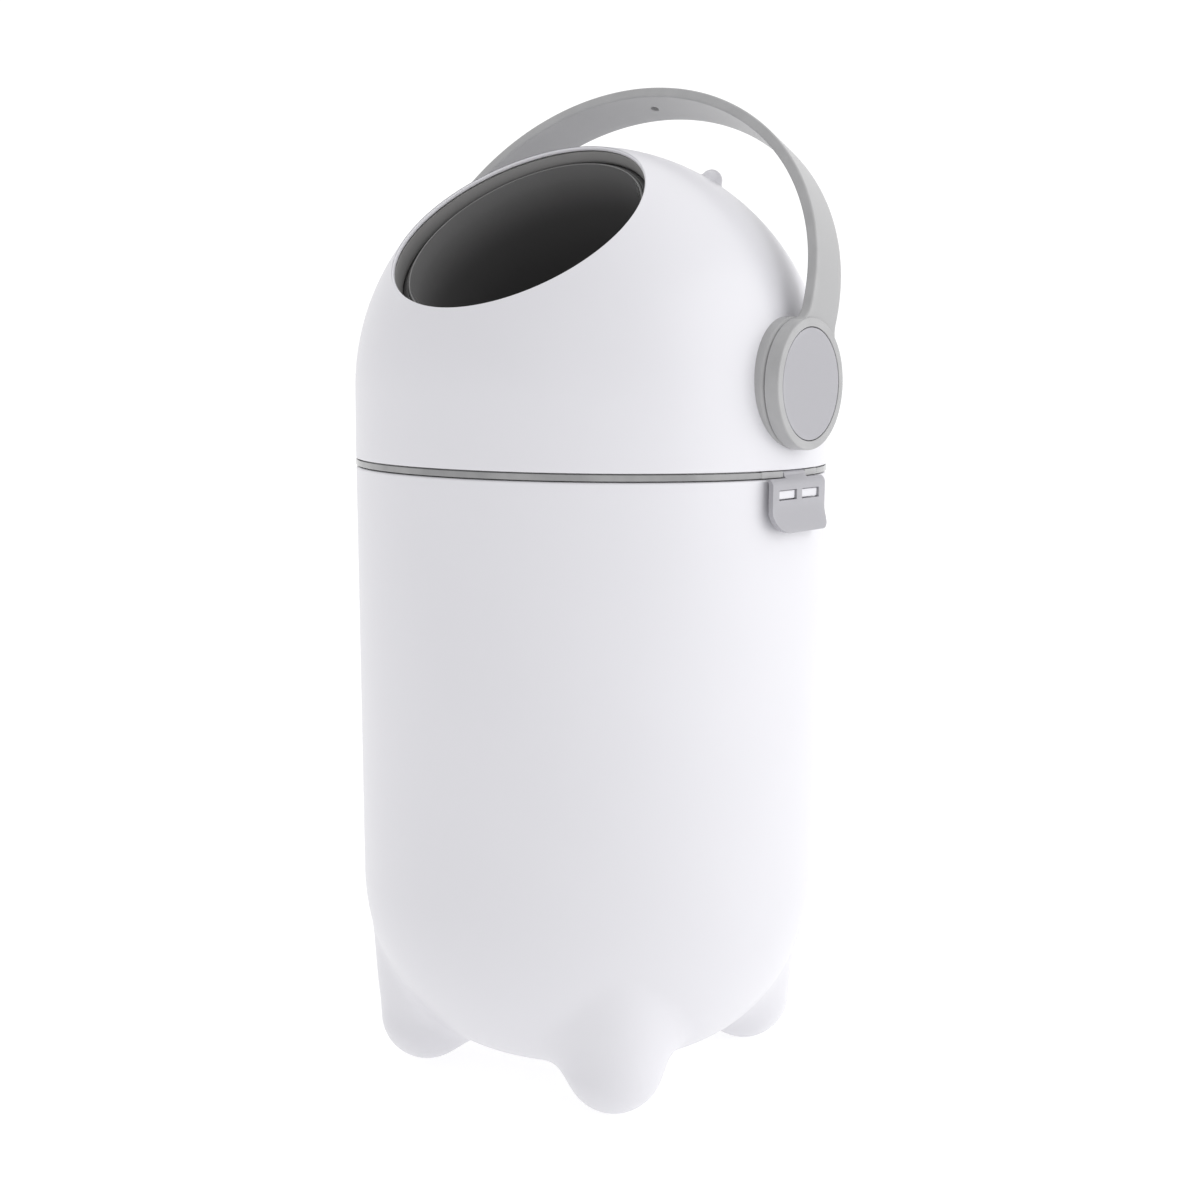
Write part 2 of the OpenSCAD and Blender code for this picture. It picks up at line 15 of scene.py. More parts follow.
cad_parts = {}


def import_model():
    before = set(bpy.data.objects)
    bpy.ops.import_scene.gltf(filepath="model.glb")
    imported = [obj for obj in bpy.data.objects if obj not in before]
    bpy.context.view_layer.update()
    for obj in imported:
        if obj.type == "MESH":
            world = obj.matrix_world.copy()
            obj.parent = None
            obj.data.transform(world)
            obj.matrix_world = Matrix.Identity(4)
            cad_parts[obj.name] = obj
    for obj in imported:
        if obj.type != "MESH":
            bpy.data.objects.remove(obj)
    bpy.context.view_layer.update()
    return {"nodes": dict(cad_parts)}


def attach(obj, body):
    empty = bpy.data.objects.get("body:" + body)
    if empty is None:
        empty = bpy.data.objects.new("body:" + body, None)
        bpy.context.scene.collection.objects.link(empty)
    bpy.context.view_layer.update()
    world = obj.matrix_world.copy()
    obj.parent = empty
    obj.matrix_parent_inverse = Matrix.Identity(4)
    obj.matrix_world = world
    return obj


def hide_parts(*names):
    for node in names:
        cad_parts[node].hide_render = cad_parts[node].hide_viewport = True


LOG = logging.getLogger("nappy_bin")
MM = 0.001
FULL_TURN = 2 * math.pi
AXLE_Z = 415.5
DOME_Z = 408.0
DOME_R = 140.0
WALL = 2.8
SIDES = ((1, "right"), (-1, "left"))
UPRIGHT = Matrix.Identity(4)
Corner = tuple[float, ...]
Tone = tuple[float, float, float]
Socket = bpy.types.NodeSocket
Sockets = bpy.types.bpy_prop_collection
Place = Callable[[Vector], Vector]
Test = Callable[[Vector], bool]


# ---------------------------------------------------------------- outlines and mesh tools


def rounded(corners: Sequence[Corner], closed: bool, steps: int = 5) -> list[Vector]:
    """Turns corners into outline points, with an arc at each corner that has a radius.

    Args:
        corners: The corners in order, each with its place across and along, and its radius if it has one.
        closed: Whether the last corner joins the first.
        steps: Number of pieces in each arc.

    Returns:
        The points of the outline as 2-D vectors.
    """
    points: list[Vector] = []
    count = len(corners)
    for i, (across, along, *radius) in enumerate(corners):
        here = Vector((across, along))
        if not radius or (not closed and i in (0, count - 1)):
            points.append(here)
            continue
        before, after = corners[i - 1][:2], corners[(i + 1) % count][:2]
        back, ahead = (Vector(before) - here).normalized(), (Vector(after) - here).normalized()
        half = back.angle(ahead) / 2
        centre = here + (back + ahead).normalized() * (radius[0] / math.sin(half))
        run = radius[0] / math.tan(half)
        start, end = here + back * run - centre, here + ahead * run - centre
        sweep = start.angle_signed(end)
        for k in range(steps + 1):
            angle = -sweep * k / steps
            spun = Vector((start.x * math.cos(angle) - start.y * math.sin(angle),
                           start.x * math.sin(angle) + start.y * math.cos(angle)))
            points.append(centre + spun)
    return points


def arc(centre: tuple[float, float], radius: float, start: float, end: float, steps: int) -> list[Vector]:
    """Points on a circle, from a start angle to an end angle in degrees from the across axis."""
    angles = [math.radians(start + (end - start) * k / steps) for k in range(steps + 1)]
    return [Vector((centre[0] + radius * math.cos(a), centre[1] + radius * math.sin(a))) for a in angles]


def spots(radius: float, first: float, count: int) -> list[tuple[float, float, float]]:
    """Even places round Z, each as its angle in radians and its X and Y; first is in degrees."""
    angles = [math.radians(first + 360 / count * k) for k in range(count)]
    return [(a, radius * math.cos(a), radius * math.sin(a)) for a in angles]


def along_x(side: int, height: float) -> Matrix:
    """Matrix that lays the Z axis of a turned shape along X, outwards on the given side, at a height."""
    return Matrix.Translation((0, 0, height)) @ Matrix.Rotation(math.radians(90 * side), 4, "Y")


def tilted(height: float, angle: float) -> Matrix:
    """Matrix that leans the Z axis of a turned shape forwards by an angle in degrees, at a height."""
    return Matrix.Translation((0, 0, height)) @ Matrix.Rotation(math.radians(angle), 4, "X")


def ring_point(co: Vector, radius: float, z: float) -> Vector:
    """The point at a radius and height that lies in a point's own direction from the Z axis."""
    way = Vector((co.x, co.y, 0)).normalized()
    return Vector((way.x * radius, way.y * radius, z))


def turn(bm: BMesh, outline: Sequence[Vector], matrix: Matrix, segments: int = 128, closed: bool = True,
         start: float = 0.0, sweep: float = FULL_TURN) -> list[BMVert]:
    """Spins an outline of (radius, height) points round Z, then moves it by a matrix.

    Args:
        bm: The mesh to add to.
        outline: The points, radius across and height along.
        matrix: Where the turned shape goes.
        segments: Number of steps of the spin.
        closed: Whether the outline's ends join.
        start: Angle of the first section in radians.
        sweep: Angle that the spin covers.

    Returns:
        The vertices of the turned shape.
    """
    old = set(bm.verts)
    ring = [bm.verts.new((p.x, 0, p.y)) for p in outline]
    edges = [bm.edges.new((ring[i], ring[i + 1])) for i in range(len(ring) - 1)]
    if closed:
        edges.append(bm.edges.new((ring[-1], ring[0])))
    bmesh.ops.rotate(bm, verts=ring, cent=(0, 0, 0), matrix=Matrix.Rotation(start, 3, "Z"))
    full = abs(sweep - FULL_TURN) < 1e-6
    if closed and not full:
        bm.faces.new(ring)
    bmesh.ops.spin(bm, geom=ring + edges, cent=(0, 0, 0), axis=(0, 0, 1), dvec=(0, 0, 0), angle=sweep,
                   steps=segments, use_merge=full, use_duplicate=False)
    made = [v for v in bm.verts if v not in old]
    if closed and not full:
        last = [e for e in {e for v in made for e in v.link_edges} if e.is_boundary]
        bmesh.ops.contextual_create(bm, geom=last)
    bmesh.ops.remove_doubles(bm, verts=made, dist=1e-4)
    made = [v for v in bm.verts if v not in old]
    bmesh.ops.recalc_face_normals(bm, faces=list({f for v in made for f in v.link_faces}))
    bmesh.ops.transform(bm, matrix=matrix, verts=made)
    return made


def whole(bm: BMesh) -> list[BMVert | BMEdge | BMFace]:
    """Everything in a mesh."""
    return bm.verts[:] + bm.edges[:] + bm.faces[:]


def open_points(bm: BMesh) -> list[BMVert]:
    """The points on a mesh's open edges, in the order of their places, so that each run is the same."""
    return sorted((v for v in bm.verts if v.is_boundary), key=lambda v: tuple(round(c, 3) for c in v.co))


def grow(bm: BMesh, edges: Iterable[BMEdge], place: Place) -> list[BMEdge]:
    """Extrudes a loop of edges once and puts each new vertex where place says.

    Args:
        bm: The mesh.
        edges: The open edges to extrude.
        place: Gives a new vertex's position from its old one.

    Returns:
        The new open edges.
    """
    made = bmesh.ops.extrude_edge_only(bm, edges=list(edges))["geom"]
    verts = {g for g in made if isinstance(g, BMVert)}
    for v in verts:
        v.co = place(v.co.copy())
    return [g for g in made if isinstance(g, BMEdge) and g.verts[0] in verts and g.verts[1] in verts]


def grow_rings(bm: BMesh, edges: list[BMEdge], path: Iterable[Vector]) -> list[BMEdge]:
    """Extrudes a loop round Z along a path of (radius, height) points and gives the last edges."""
    for point in path:
        edges = grow(bm, edges, lambda co, q=point: ring_point(co, q[0], q[1]))
    return edges


def close_top(bm: BMesh, edges: list[BMEdge], at: Vector) -> None:
    """Closes a small loop by joining its points into one."""
    bmesh.ops.pointmerge(bm, verts=list({v for e in edges for v in e.verts}), merge_co=at)


def punch(bm: BMesh, inside: Test, skin: Test) -> list[BMEdge]:
    """Deletes the faces of a skin that have a corner inside a region.

    Args:
        bm: The mesh.
        inside: Says whether a point is in the region.
        skin: Says whether a face's middle belongs to the skin.

    Returns:
        The open edges round the hole.
    """
    gone = [f for f in bm.faces if skin(f.calc_center_median()) and any(inside(v.co) for v in f.verts)]
    rim = {e for f in gone for e in f.edges if any(g not in gone for g in e.link_faces)}
    bmesh.ops.delete(bm, geom=gone, context="FACES")
    return [e for e in rim if e.is_valid and e.is_boundary]


def loft(bm: BMesh, stations: int, ring: int, place: Callable[[int, int], Vector]) -> None:
    """Shapes a grid into a closed tube with flat ends.

    Args:
        bm: The mesh to add to.
        stations: Number of sections along the tube.
        ring: Number of points round each section.
        place: Gives the position of a point from its section and its number in the ring.
    """
    made = bmesh.ops.create_grid(bm, x_segments=stations - 1, y_segments=ring, size=1.0)["verts"]
    for v in made:
        i = round((v.co.x + 1) / 2 * (stations - 1))
        j = round((v.co.y + 1) / 2 * ring)
        v.co = place(i, j % ring)
    bmesh.ops.remove_doubles(bm, verts=made, dist=1e-4)
    made = [v for v in made if v.is_valid]
    ends = [e for e in {e for v in made for e in v.link_edges} if e.is_boundary]
    bmesh.ops.holes_fill(bm, edges=ends, sides=0)
    bmesh.ops.recalc_face_normals(bm, faces=list({f for v in made for f in v.link_faces}))


def box(bm: BMesh, middle: Vector, size: Vector) -> list[BMVert]:
    """Adds a plain box and gives its corners."""
    made = bmesh.ops.create_cube(bm, size=1.0)["verts"]
    bmesh.ops.scale(bm, vec=size, verts=made)
    bmesh.ops.translate(bm, vec=middle, verts=made)
    return made


def soften(bm: BMesh, edges: list[BMEdge], offset: float) -> None:
    """Rounds edges by an offset in millimetres."""
    bmesh.ops.bevel(bm, geom=edges, offset=offset, offset_type="OFFSET", segments=3, profile=0.5,
                    affect="EDGES", material=-1, clamp_overlap=True)


def mirror_copy(bm: BMesh) -> BMesh:
    """Gives a copy of a mesh mirrored in X, with its faces still outwards."""
    twin = bm.copy()
    bmesh.ops.scale(twin, vec=(-1, 1, 1), verts=twin.verts)
    bmesh.ops.reverse_faces(twin, faces=twin.faces)
    return twin


# ---------------------------------------------------------------- finishes


class Effect(Enum):
    """Shader node groups that the finishes share, each with its inputs' first values."""

    GRAIN = ("moulded_grain", {"Scale": 900.0})
    TONE = ("uneven_tone", {"Scale": 9.0})
    # Edge wear together with a painted highlight along bulging edges.
    WEAR_AND_HIGHLIGHT = ("edge_wear_and_highlight", {"Edge": 0.0, "Scale": 60.0})
    BRUSH = ("turned_brush", {"Scale": 1500.0})


@dataclass(frozen=True)
class Graph:
    """Adds nodes to a tree together with their settings, values and links."""

    tree: bpy.types.NodeTree

    def feed(self, node: bpy.types.Node, inputs: dict[str | int, object]) -> None:
        """Sets a node's inputs.

        Args:
            node: The node.
            inputs: Each input's name or number, with its value or the socket that feeds it.
        """
        for key, value in inputs.items():
            if isinstance(value, Socket):
                self.tree.links.new(value, node.inputs[key])
            else:
                node.inputs[key].default_value = value

    def add(self, kind: str, inputs: dict[str | int, object], **settings: object) -> bpy.types.Node:
        """Adds one node.

        Args:
            kind: The shader node's type.
            inputs: Its inputs, as in feed.
            settings: Its other settings.

        Returns:
            The node.
        """
        node = self.tree.nodes.new("ShaderNode" + kind)
        for name, value in settings.items():
            setattr(node, name, value)
        self.feed(node, inputs)
        return node

    def blend(self, share: Socket, first: Tone | Socket, second: Tone) -> Socket:
        """Blends two tones.

        Args:
            share: Socket with the second tone's share.
            first: The first tone, or the socket that gives it.
            second: The second tone.

        Returns:
            The socket with the blend.
        """
        tone_a, tone_b, result = 6, 7, 2
        start = first if isinstance(first, Socket) else (*first, 1.0)
        node = self.add("Mix", {}, data_type="RGBA")
        self.feed(node, {0: share, tone_a: start, tone_b: (*second, 1.0)})
        return node.outputs[result]


@dataclass
class EffectBench:
    """Builds each shared node group once and places it in materials."""

    made: dict[Effect, bpy.types.NodeTree] = field(default_factory=dict)

    @staticmethod
    def grain(graph: Graph, entry: Sockets) -> dict[str, Socket]:
        """Fine spark-eroded grain of a mould, with a coarser swell under it."""
        where, scale = entry["Vector"], entry["Scale"]
        fine = graph.add("TexNoise", {"Vector": where, "Scale": scale, "Detail": 3.0, "Roughness": 0.55})
        wide = graph.add("Math", {0: scale, 1: 0.6}, operation="MULTIPLY").outputs[0]
        coarse = graph.add("TexVoronoi", {}, feature="SMOOTH_F1")
        graph.feed(coarse, {"Vector": where, "Scale": wide})
        both = graph.add("Mix", {"Factor": 0.35, "A": fine.outputs["Fac"], "B": coarse.outputs["Distance"]})
        return {"Height": both.outputs["Result"], "Speckle": fine.outputs["Fac"]}

    @staticmethod
    def tone(graph: Graph, entry: Sockets) -> dict[str, Socket]:
        """Slow change of tone from the plastic's flow, between 0 and 1."""
        cloud = graph.add("TexNoise", {"Vector": entry["Vector"], "Scale": entry["Scale"], "Detail": 2.0,
                                       "Distortion": 0.6})
        spread = graph.add("MapRange", {"Value": cloud.outputs["Fac"], "From Min": 0.3, "From Max": 0.7},
                           interpolation_type="SMOOTHSTEP")
        return {"Mask": spread.outputs["Result"]}

    @staticmethod
    def wear_and_highlight(graph: Graph, entry: Sockets) -> dict[str, Socket]:
        """Patchy mask on bulging edges, from an edge mask and noise: edge wear, and a painted highlight where
        edges catch light.
        """
        patch = graph.add("TexNoise", {"Vector": entry["Vector"], "Scale": entry["Scale"], "Detail": 4.0})
        spread = graph.add("MapRange", {"Value": patch.outputs["Fac"], "From Min": 0.35, "From Max": 0.65})
        mask = graph.add("Math", {0: spread.outputs["Result"], 1: entry["Edge"]}, operation="MULTIPLY",
                         use_clamp=True)
        return {"Mask": mask.outputs[0]}

    @staticmethod
    def brush(graph: Graph, entry: Sockets) -> dict[str, Socket]:
        """Fine turning marks across the X axis on metal."""
        stretch = graph.add("Mapping", {"Vector": entry["Vector"], "Scale": (1.0, 0.04, 0.04)})
        streak = graph.add("TexNoise", {"Vector": stretch.outputs["Vector"], "Scale": entry["Scale"],
                                        "Detail": 2.0})
        return {"Height": streak.outputs["Fac"]}

    def build(self, effect: Effect) -> bpy.types.NodeTree:
        """Builds an effect's node group."""
        name, inputs = effect.value
        tree = bpy.data.node_groups.new(name, "ShaderNodeTree")
        tree.interface.new_socket("Vector", in_out="INPUT", socket_type="NodeSocketVector")
        for key, value in inputs.items():
            socket = tree.interface.new_socket(key, in_out="INPUT", socket_type="NodeSocketFloat")
            socket.default_value = value
        maker = {Effect.GRAIN: self.grain, Effect.TONE: self.tone, Effect.WEAR_AND_HIGHLIGHT: self.wear_and_highlight,
                 Effect.BRUSH: self.brush}[effect]
        graph = Graph(tree)
        results = maker(graph, tree.nodes.new("NodeGroupInput").outputs)
        for key in results:
            tree.interface.new_socket(key, in_out="OUTPUT", socket_type="NodeSocketFloat")
        graph.feed(tree.nodes.new("NodeGroupOutput"), results)
        return tree

    def place(self, effect: Effect, graph: Graph, inputs: dict[str, object]) -> Sockets:
        """Puts a group into a material, building it first if it is new.

        Args:
            effect: Which group.
            graph: The material's nodes.
            inputs: The group's inputs.

        Returns:
            The outputs of the group node.
        """
        if effect not in self.made:
            self.made[effect] = self.build(effect)
        node = graph.add("Group", {}, node_tree=self.made[effect])
        graph.feed(node, inputs)
        return node.outputs


@dataclass(frozen=True)
class Finish:
    """One finish: its two tones, how rough it is and how its grain stands."""

    name: str
    slot: str
    tone: Tone
    tone_low: Tone
    rough_low: float
    rough_high: float
    grain_scale: float
    grain_depth: float
    # Edge tone and its share: edge wear, and a painted highlight on bulging edges (darker edges on the
    # rubber).
    wear_and_highlight_tone: Tone
    wear_and_highlight_share: float
    specular: float = 0.5
    metallic: float = 0.0
    sheen: float = 0.0
    brushed: bool = False
    # The last three fields paint shade: the tone darkens along a direction over a span, as shade deeper in a
    # hollow.
    painted_shade_way: Tone = (0.0, 0.0, 0.0)
    painted_shade_span: tuple[float, float] | None = None
    painted_shade_tone: Tone = (0.0, 0.0, 0.0)

    def material(self, bench: EffectBench) -> bpy.types.Material:
        """Builds the finish's node material.

        Args:
            bench: The shared effects.

        Returns:
            The material.
        """
        made = bpy.data.materials.new(self.name)
        made.use_nodes = True
        made.diffuse_color = (*self.tone, 1.0)
        made.roughness = self.rough_low
        graph = Graph(made.node_tree)
        where = graph.add("TexCoord", {}).outputs["Object"]
        edge = graph.add("Attribute", {}, attribute_name="edge").outputs["Fac"]
        cloud = bench.place(Effect.TONE, graph, {"Vector": where})["Mask"]
        # Mask for edge wear and a painted highlight on bulging edges.
        wear_and_highlight = bench.place(Effect.WEAR_AND_HIGHLIGHT, graph, {"Vector": where, "Edge": edge})["Mask"]
        grain = bench.place(Effect.BRUSH if self.brushed else Effect.GRAIN, graph,
                            {"Vector": where, "Scale": self.grain_scale})
        # The edge tone mixes in by that mask: edge wear and painted highlight.
        share = graph.add("Math", {0: wear_and_highlight, 1: self.wear_and_highlight_share}, operation="MULTIPLY").outputs[0]
        tone = graph.blend(share, graph.blend(cloud, self.tone_low, self.tone), self.wear_and_highlight_tone)
        # Painted shade: the tone is darker deeper into the hollow along one direction.
        if self.painted_shade_span:
            tone = self.fade(graph, where, tone)
        speckle = cloud if self.brushed else grain["Speckle"]
        rough = graph.add("MapRange", {"Value": speckle, "To Min": self.rough_low, "To Max": self.rough_high})
        bump = graph.add("Bump", {"Height": grain["Height"], "Strength": 1.0,
                                  "Distance": self.grain_depth * MM})
        graph.feed(made.node_tree.nodes["Principled BSDF"], {
            "Base Color": tone, "Roughness": rough.outputs["Result"], "Normal": bump.outputs["Normal"],
            "Specular IOR Level": self.specular, "Metallic": self.metallic, "Sheen Weight": self.sheen})
        return made

    def fade(self, graph: Graph, where: Socket, tone: Socket) -> Socket:
        """Blends a tone into the painted shade tone along one direction, as painted shade deeper into a
        hollow.

        Args:
            graph: The material's nodes.
            where: Socket with the place on the piece.
            tone: Socket with the tone to blend from.

        Returns:
            The socket with the blended tone.
        """
        along = graph.add("VectorMath", {0: where, 1: self.painted_shade_way}, operation="DOT_PRODUCT")
        start, end = self.painted_shade_span
        span = graph.add("MapRange", {"Value": along.outputs["Value"], "From Min": start, "From Max": end},
                         interpolation_type="SMOOTHSTEP")
        return graph.blend(span.outputs["Result"], tone, self.painted_shade_tone)


class Look(Enum):
    """The finishes of the bin."""

    WHITE_SHELL = Finish("white_shell", "body", (0.686, 0.681, 0.716), (0.678, 0.673, 0.708), 0.3, 0.38,
                         1400.0, 0.009, (0.74, 0.74, 0.765), 0.12)
    LIGHT_TRIM = Finish("light_grey_trim", "trim", (0.372, 0.372, 0.377), (0.362, 0.362, 0.367), 0.3, 0.38,
                        1200.0, 0.014, (0.52, 0.52, 0.525), 0.2, specular=0.32)
    CAP_TRIM = Finish("cap_trim", "trim", (0.352, 0.348, 0.373), (0.342, 0.338, 0.363), 0.36, 0.46,
                      1000.0, 0.016, (0.5, 0.5, 0.53), 0.18)
    MID_BAND = Finish("mid_grey_band", "band", (0.25, 0.25, 0.255), (0.24, 0.24, 0.245), 0.14, 0.2,
                      1200.0, 0.010, (0.48, 0.48, 0.48), 0.25)
    DARK_DRUM = Finish("dark_drum", "drum", (0.118, 0.117, 0.118), (0.110, 0.109, 0.110), 0.18, 0.24,
                       1100.0, 0.010, (0.16, 0.16, 0.16), 0.25)
    # The bowl's tone is painted darker deeper into the bowl: painted shade.
    DRUM_LINER = Finish("drum_liner_skin", "drum", (0.185, 0.184, 0.185), (0.173, 0.172, 0.173), 0.18, 0.24,
                        1100.0, 0.010, (0.22, 0.22, 0.22), 0.15, painted_shade_way=(0.0, -0.6494, 0.7604),
                        painted_shade_span=(0.4190, 0.3840), painted_shade_tone=(0.088, 0.087, 0.088))
    # The seal's tone is painted darker deeper into the mouth: painted shade.
    SOFT_RUBBER = Finish("soft_rubber", "seal", (0.285, 0.281, 0.280), (0.270, 0.266, 0.265), 0.42, 0.52,
                         1600.0, 0.016, (0.2, 0.195, 0.19), 0.2, specular=0.4, sheen=0.1,
                         painted_shade_way=(0.0, -0.620, 0.785), painted_shade_span=(0.4365, 0.4275),
                         painted_shade_tone=(0.165, 0.163, 0.163))
    PALE_BEARING = Finish("pale_bearing", "bearing", (0.62, 0.61, 0.58), (0.58, 0.57, 0.54), 0.35, 0.45,
                          1300.0, 0.01, (0.7, 0.69, 0.66), 0.2)
    TURNED_STEEL = Finish("turned_steel", "metal", (0.56, 0.57, 0.58), (0.5, 0.51, 0.52), 0.25, 0.4,
                          1500.0, 0.006, (0.7, 0.7, 0.72), 0.3, metallic=1.0, brushed=True)


@dataclass
class Workshop:
    """Turns meshes into finished pieces of the bin."""

    bench: EffectBench = field(default_factory=EffectBench)
    materials: dict[Look, bpy.types.Material] = field(default_factory=dict)
    pieces: int = 0

    def material(self, look: Look) -> bpy.types.Material:
        """Gives the material of a look, made on first use."""
        if look not in self.materials:
            self.materials[look] = look.value.material(self.bench)
        return self.materials[look]

    def finish(self, bm: BMesh, name: str, look: Look, body: str, *nodes: str) -> None:
        """Makes an object from a mesh in millimetres, dresses it and puts it on its body.

        Args:
            bm: The mesh, which is freed.
            name: The piece's name.
            look: Its finish.
            body: The body that it rides on.
            nodes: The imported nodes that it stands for.
        """
        sharp = math.radians(50.0)
        bmesh.ops.dissolve_degenerate(bm, dist=0.004, edges=bm.edges)
        bmesh.ops.scale(bm, vec=(MM, MM, MM), verts=bm.verts)
        for f in bm.faces:
            f.smooth = True
        for e in bm.edges:
            e.smooth = not (e.is_manifold and e.calc_face_angle(0) > sharp)
        data = bpy.data.meshes.new(name)
        bm.to_mesh(data)
        bm.free()
        self.mark_edges(data)
        data.materials.append(self.material(look))
        piece = bpy.data.objects.new(name, data)
        bpy.context.scene.collection.objects.link(piece)
        weighted = piece.modifiers.new("even_shading", "WEIGHTED_NORMAL")
        weighted.keep_sharp = True
        weighted.weight = 50
        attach(piece, body)
        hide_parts(*nodes)
        self.pieces += 1
        LOG.info("%s: %d faces on %s, in %s", name, len(data.polygons), body, look.value.name)

    @staticmethod
    def mark_edges(data: bpy.types.Mesh) -> None:
        """Stores how strongly each vertex bulges outwards, in the attribute edge, for the edge wear and
        painted highlight on edges.
        """
        full_wear_and_highlight, shortest = 700.0, 1e-7
        count, links = len(data.vertices), len(data.edges)
        co, normal = np.zeros(count * 3), np.zeros(count * 3)
        pair = np.zeros(links * 2, np.int64)
        data.vertices.foreach_get("co", co)
        data.vertices.foreach_get("normal", normal)
        data.edges.foreach_get("vertices", pair)
        co, normal, pair = co.reshape(-1, 3), normal.reshape(-1, 3), pair.reshape(-1, 2)
        way = co[pair[:, 1]] - co[pair[:, 0]]
        length = np.maximum(np.linalg.norm(way, axis=1), shortest)
        bend = ((normal[pair[:, 1]] - normal[pair[:, 0]]) * way).sum(1) / length ** 2
        value = np.zeros(count)
        np.maximum.at(value, pair[:, 0], bend)
        np.maximum.at(value, pair[:, 1], bend)
        layer = data.attributes.new("edge", "FLOAT", "POINT")
        layer.data.foreach_set("value", np.clip(value / full_wear_and_highlight, 0, 1).astype(np.float32))

    def dress(self, nodes: dict[str, bpy.types.Object], names: Iterable[str], look: Look) -> None:
        """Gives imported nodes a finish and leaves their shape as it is."""
        for name in names:
            nodes[name].data.materials.clear()
            nodes[name].data.materials.append(self.material(look))
            LOG.info("%s: packed shape, in %s", name, look.value.name)


# ---------------------------------------------------------------- bucket


@dataclass
class Bucket:
    """White bucket: a round bottom that flows into four feet, a drawn wall, a ledge and catch teeth."""

    low_r: float = 137.3
    rim_r: float = 139.8
    rim_z: float = 361.9
    bowl_top: float = 121.0
    bowl_low: float = 16.0
    flat_r: float = 57.0
    foot_r: float = 28.5
    foot_top_r: float = 33.0
    foot_place: float = 99.6
    foot_tip: float = 28.1
    foot_top: float = 96.0
    fillet_top: float = 92.0
    fillet_span: float = 55.0
    fillet_least: float = 2.0
    fillet_more: float = 17.0
    cut_z: float = 127.0
    rough_z: float = 150.0
    voxel: float = 2.6
    wall_z: tuple[float, ...] = (170.0, 230.0, 290.0)
    high_z: float = 335.0
    top_z: tuple[float, ...] = (360.0, 355.0)
    ledge_z: float = 346.0
    ledge_r: float = 132.0
    ledge_t: float = 1.5
    ledge_top: float = 350.0
    gusset_z: float = 338.8
    gusset_low: float = 330.0
    tooth_in: float = 136.4
    tooth_out: float = 142.2
    tooth_low: float = 352.3
    tooth_high: float = 356.9
    tooth_half: float = 9.1
    tooth_place: float = 12.5
    tooth_edge: float = 0.35

    def wall_r(self, z: float | np.ndarray) -> float | np.ndarray:
        """Outer radius of the wall at a height."""
        return self.low_r + (self.rim_r - self.low_r) * (z - self.bowl_top) / (self.rim_z - self.bowl_top)

    def wall_point(self, z: float, inset: float = 0.0) -> Vector:
        """The wall's outline point at a height, on its outer skin or inset from it."""
        return Vector((self.wall_r(z) - inset, z))

    def depth(self, p: np.ndarray) -> np.ndarray:
        """Distance from the outer skin, positive outside, with soft fillets between feet and bowl.

        Args:
            p: Points in millimetres, one per row.

        Returns:
            One distance per point.
        """
        r, z = np.hypot(p[:, 0], p[:, 1]), p[:, 2]
        a, b = self.low_r - self.flat_r, self.bowl_top - self.bowl_low
        u, v = np.maximum(r - self.flat_r, 0), np.maximum(self.bowl_top - z, 0)
        q = np.hypot(u / a, v / b)
        slope = np.hypot(u / a ** 2, v / b ** 2) / np.maximum(q, 1e-9)
        bowl = np.where(q > 1e-6, (q - 1) / np.maximum(slope, 1e-9), -a)
        body = np.where(z >= self.bowl_top, r - self.wall_r(z), bowl)
        feet = np.full(len(p), 1e9)
        slant = math.atan2(self.foot_top_r - self.foot_r, self.foot_top - self.foot_tip)
        up = z - self.foot_tip
        for _, x, y in spots(self.foot_place, 45, 4):
            s = np.hypot(p[:, 0] - x, p[:, 1] - y)
            ball = np.hypot(s, up) - self.foot_r
            cone = (s - self.foot_r - up * math.tan(slant)) * math.cos(slant)
            feet = np.minimum(feet, np.where(up < 0, ball, cone))
        fade = np.clip((self.fillet_top - z) / self.fillet_span, 0, 1)
        soft = self.fillet_least + self.fillet_more * fade * fade * (3 - 2 * fade)
        near = np.maximum(soft - np.abs(body - feet), 0) / soft
        return np.minimum(body, feet) - near * near * soft / 4

    def slope(self, p: np.ndarray) -> np.ndarray:
        """Gradient of depth at each point, by small steps."""
        step = 0.05
        shifts = np.eye(3) * step
        return np.stack([(self.depth(p + s) - self.depth(p - s)) / (2 * step) for s in shifts], 1)

    def settle(self, bm: BMesh, rounds: int) -> None:
        """Moves every vertex onto the outer skin, rounds times."""
        p = np.array([v.co for v in bm.verts], float)
        for _ in range(rounds):
            g = self.slope(p)
            p -= self.depth(p)[:, None] * g / np.maximum((g * g).sum(1), 1e-6)[:, None]
        for v, q in zip(bm.verts, p):
            v.co = q

    def rough_bottom(self) -> BMesh:
        """Makes the plain bowl and feet, and gives one even skin over them from a voxel remesh."""
        rough = bmesh.new()
        bowl = [Vector((0, self.bowl_low))]
        for k in range(25):
            angle = math.radians(90 - 90 * k / 24)
            bowl.append(Vector((self.flat_r + (self.low_r - self.flat_r) * math.cos(angle),
                                self.bowl_top - (self.bowl_top - self.bowl_low) * math.sin(angle))))
        bowl += [self.wall_point(self.rough_z), Vector((0, self.rough_z))]
        turn(rough, bowl, UPRIGHT, 96, closed=False)
        foot = arc((0, self.foot_tip), self.foot_r, -90, 0, 12)
        foot += [Vector((self.foot_top_r, self.foot_top)), Vector((0, self.foot_top))]
        for _, x, y in spots(self.foot_place, 45, 4):
            turn(rough, foot, Matrix.Translation((x, y, 0)), 48, closed=False)
        data = bpy.data.meshes.new("rough_bottom")
        rough.to_mesh(data)
        rough.free()
        helper = bpy.data.objects.new("rough_bottom", data)
        bpy.context.scene.collection.objects.link(helper)
        remesh = helper.modifiers.new("skin", "REMESH")
        remesh.mode = "VOXEL"
        remesh.voxel_size = self.voxel
        solid = helper.evaluated_get(bpy.context.evaluated_depsgraph_get()).to_mesh()
        bm = bmesh.new()
        bm.from_mesh(solid)
        bpy.data.objects.remove(helper)
        bpy.data.meshes.remove(data)
        return bm

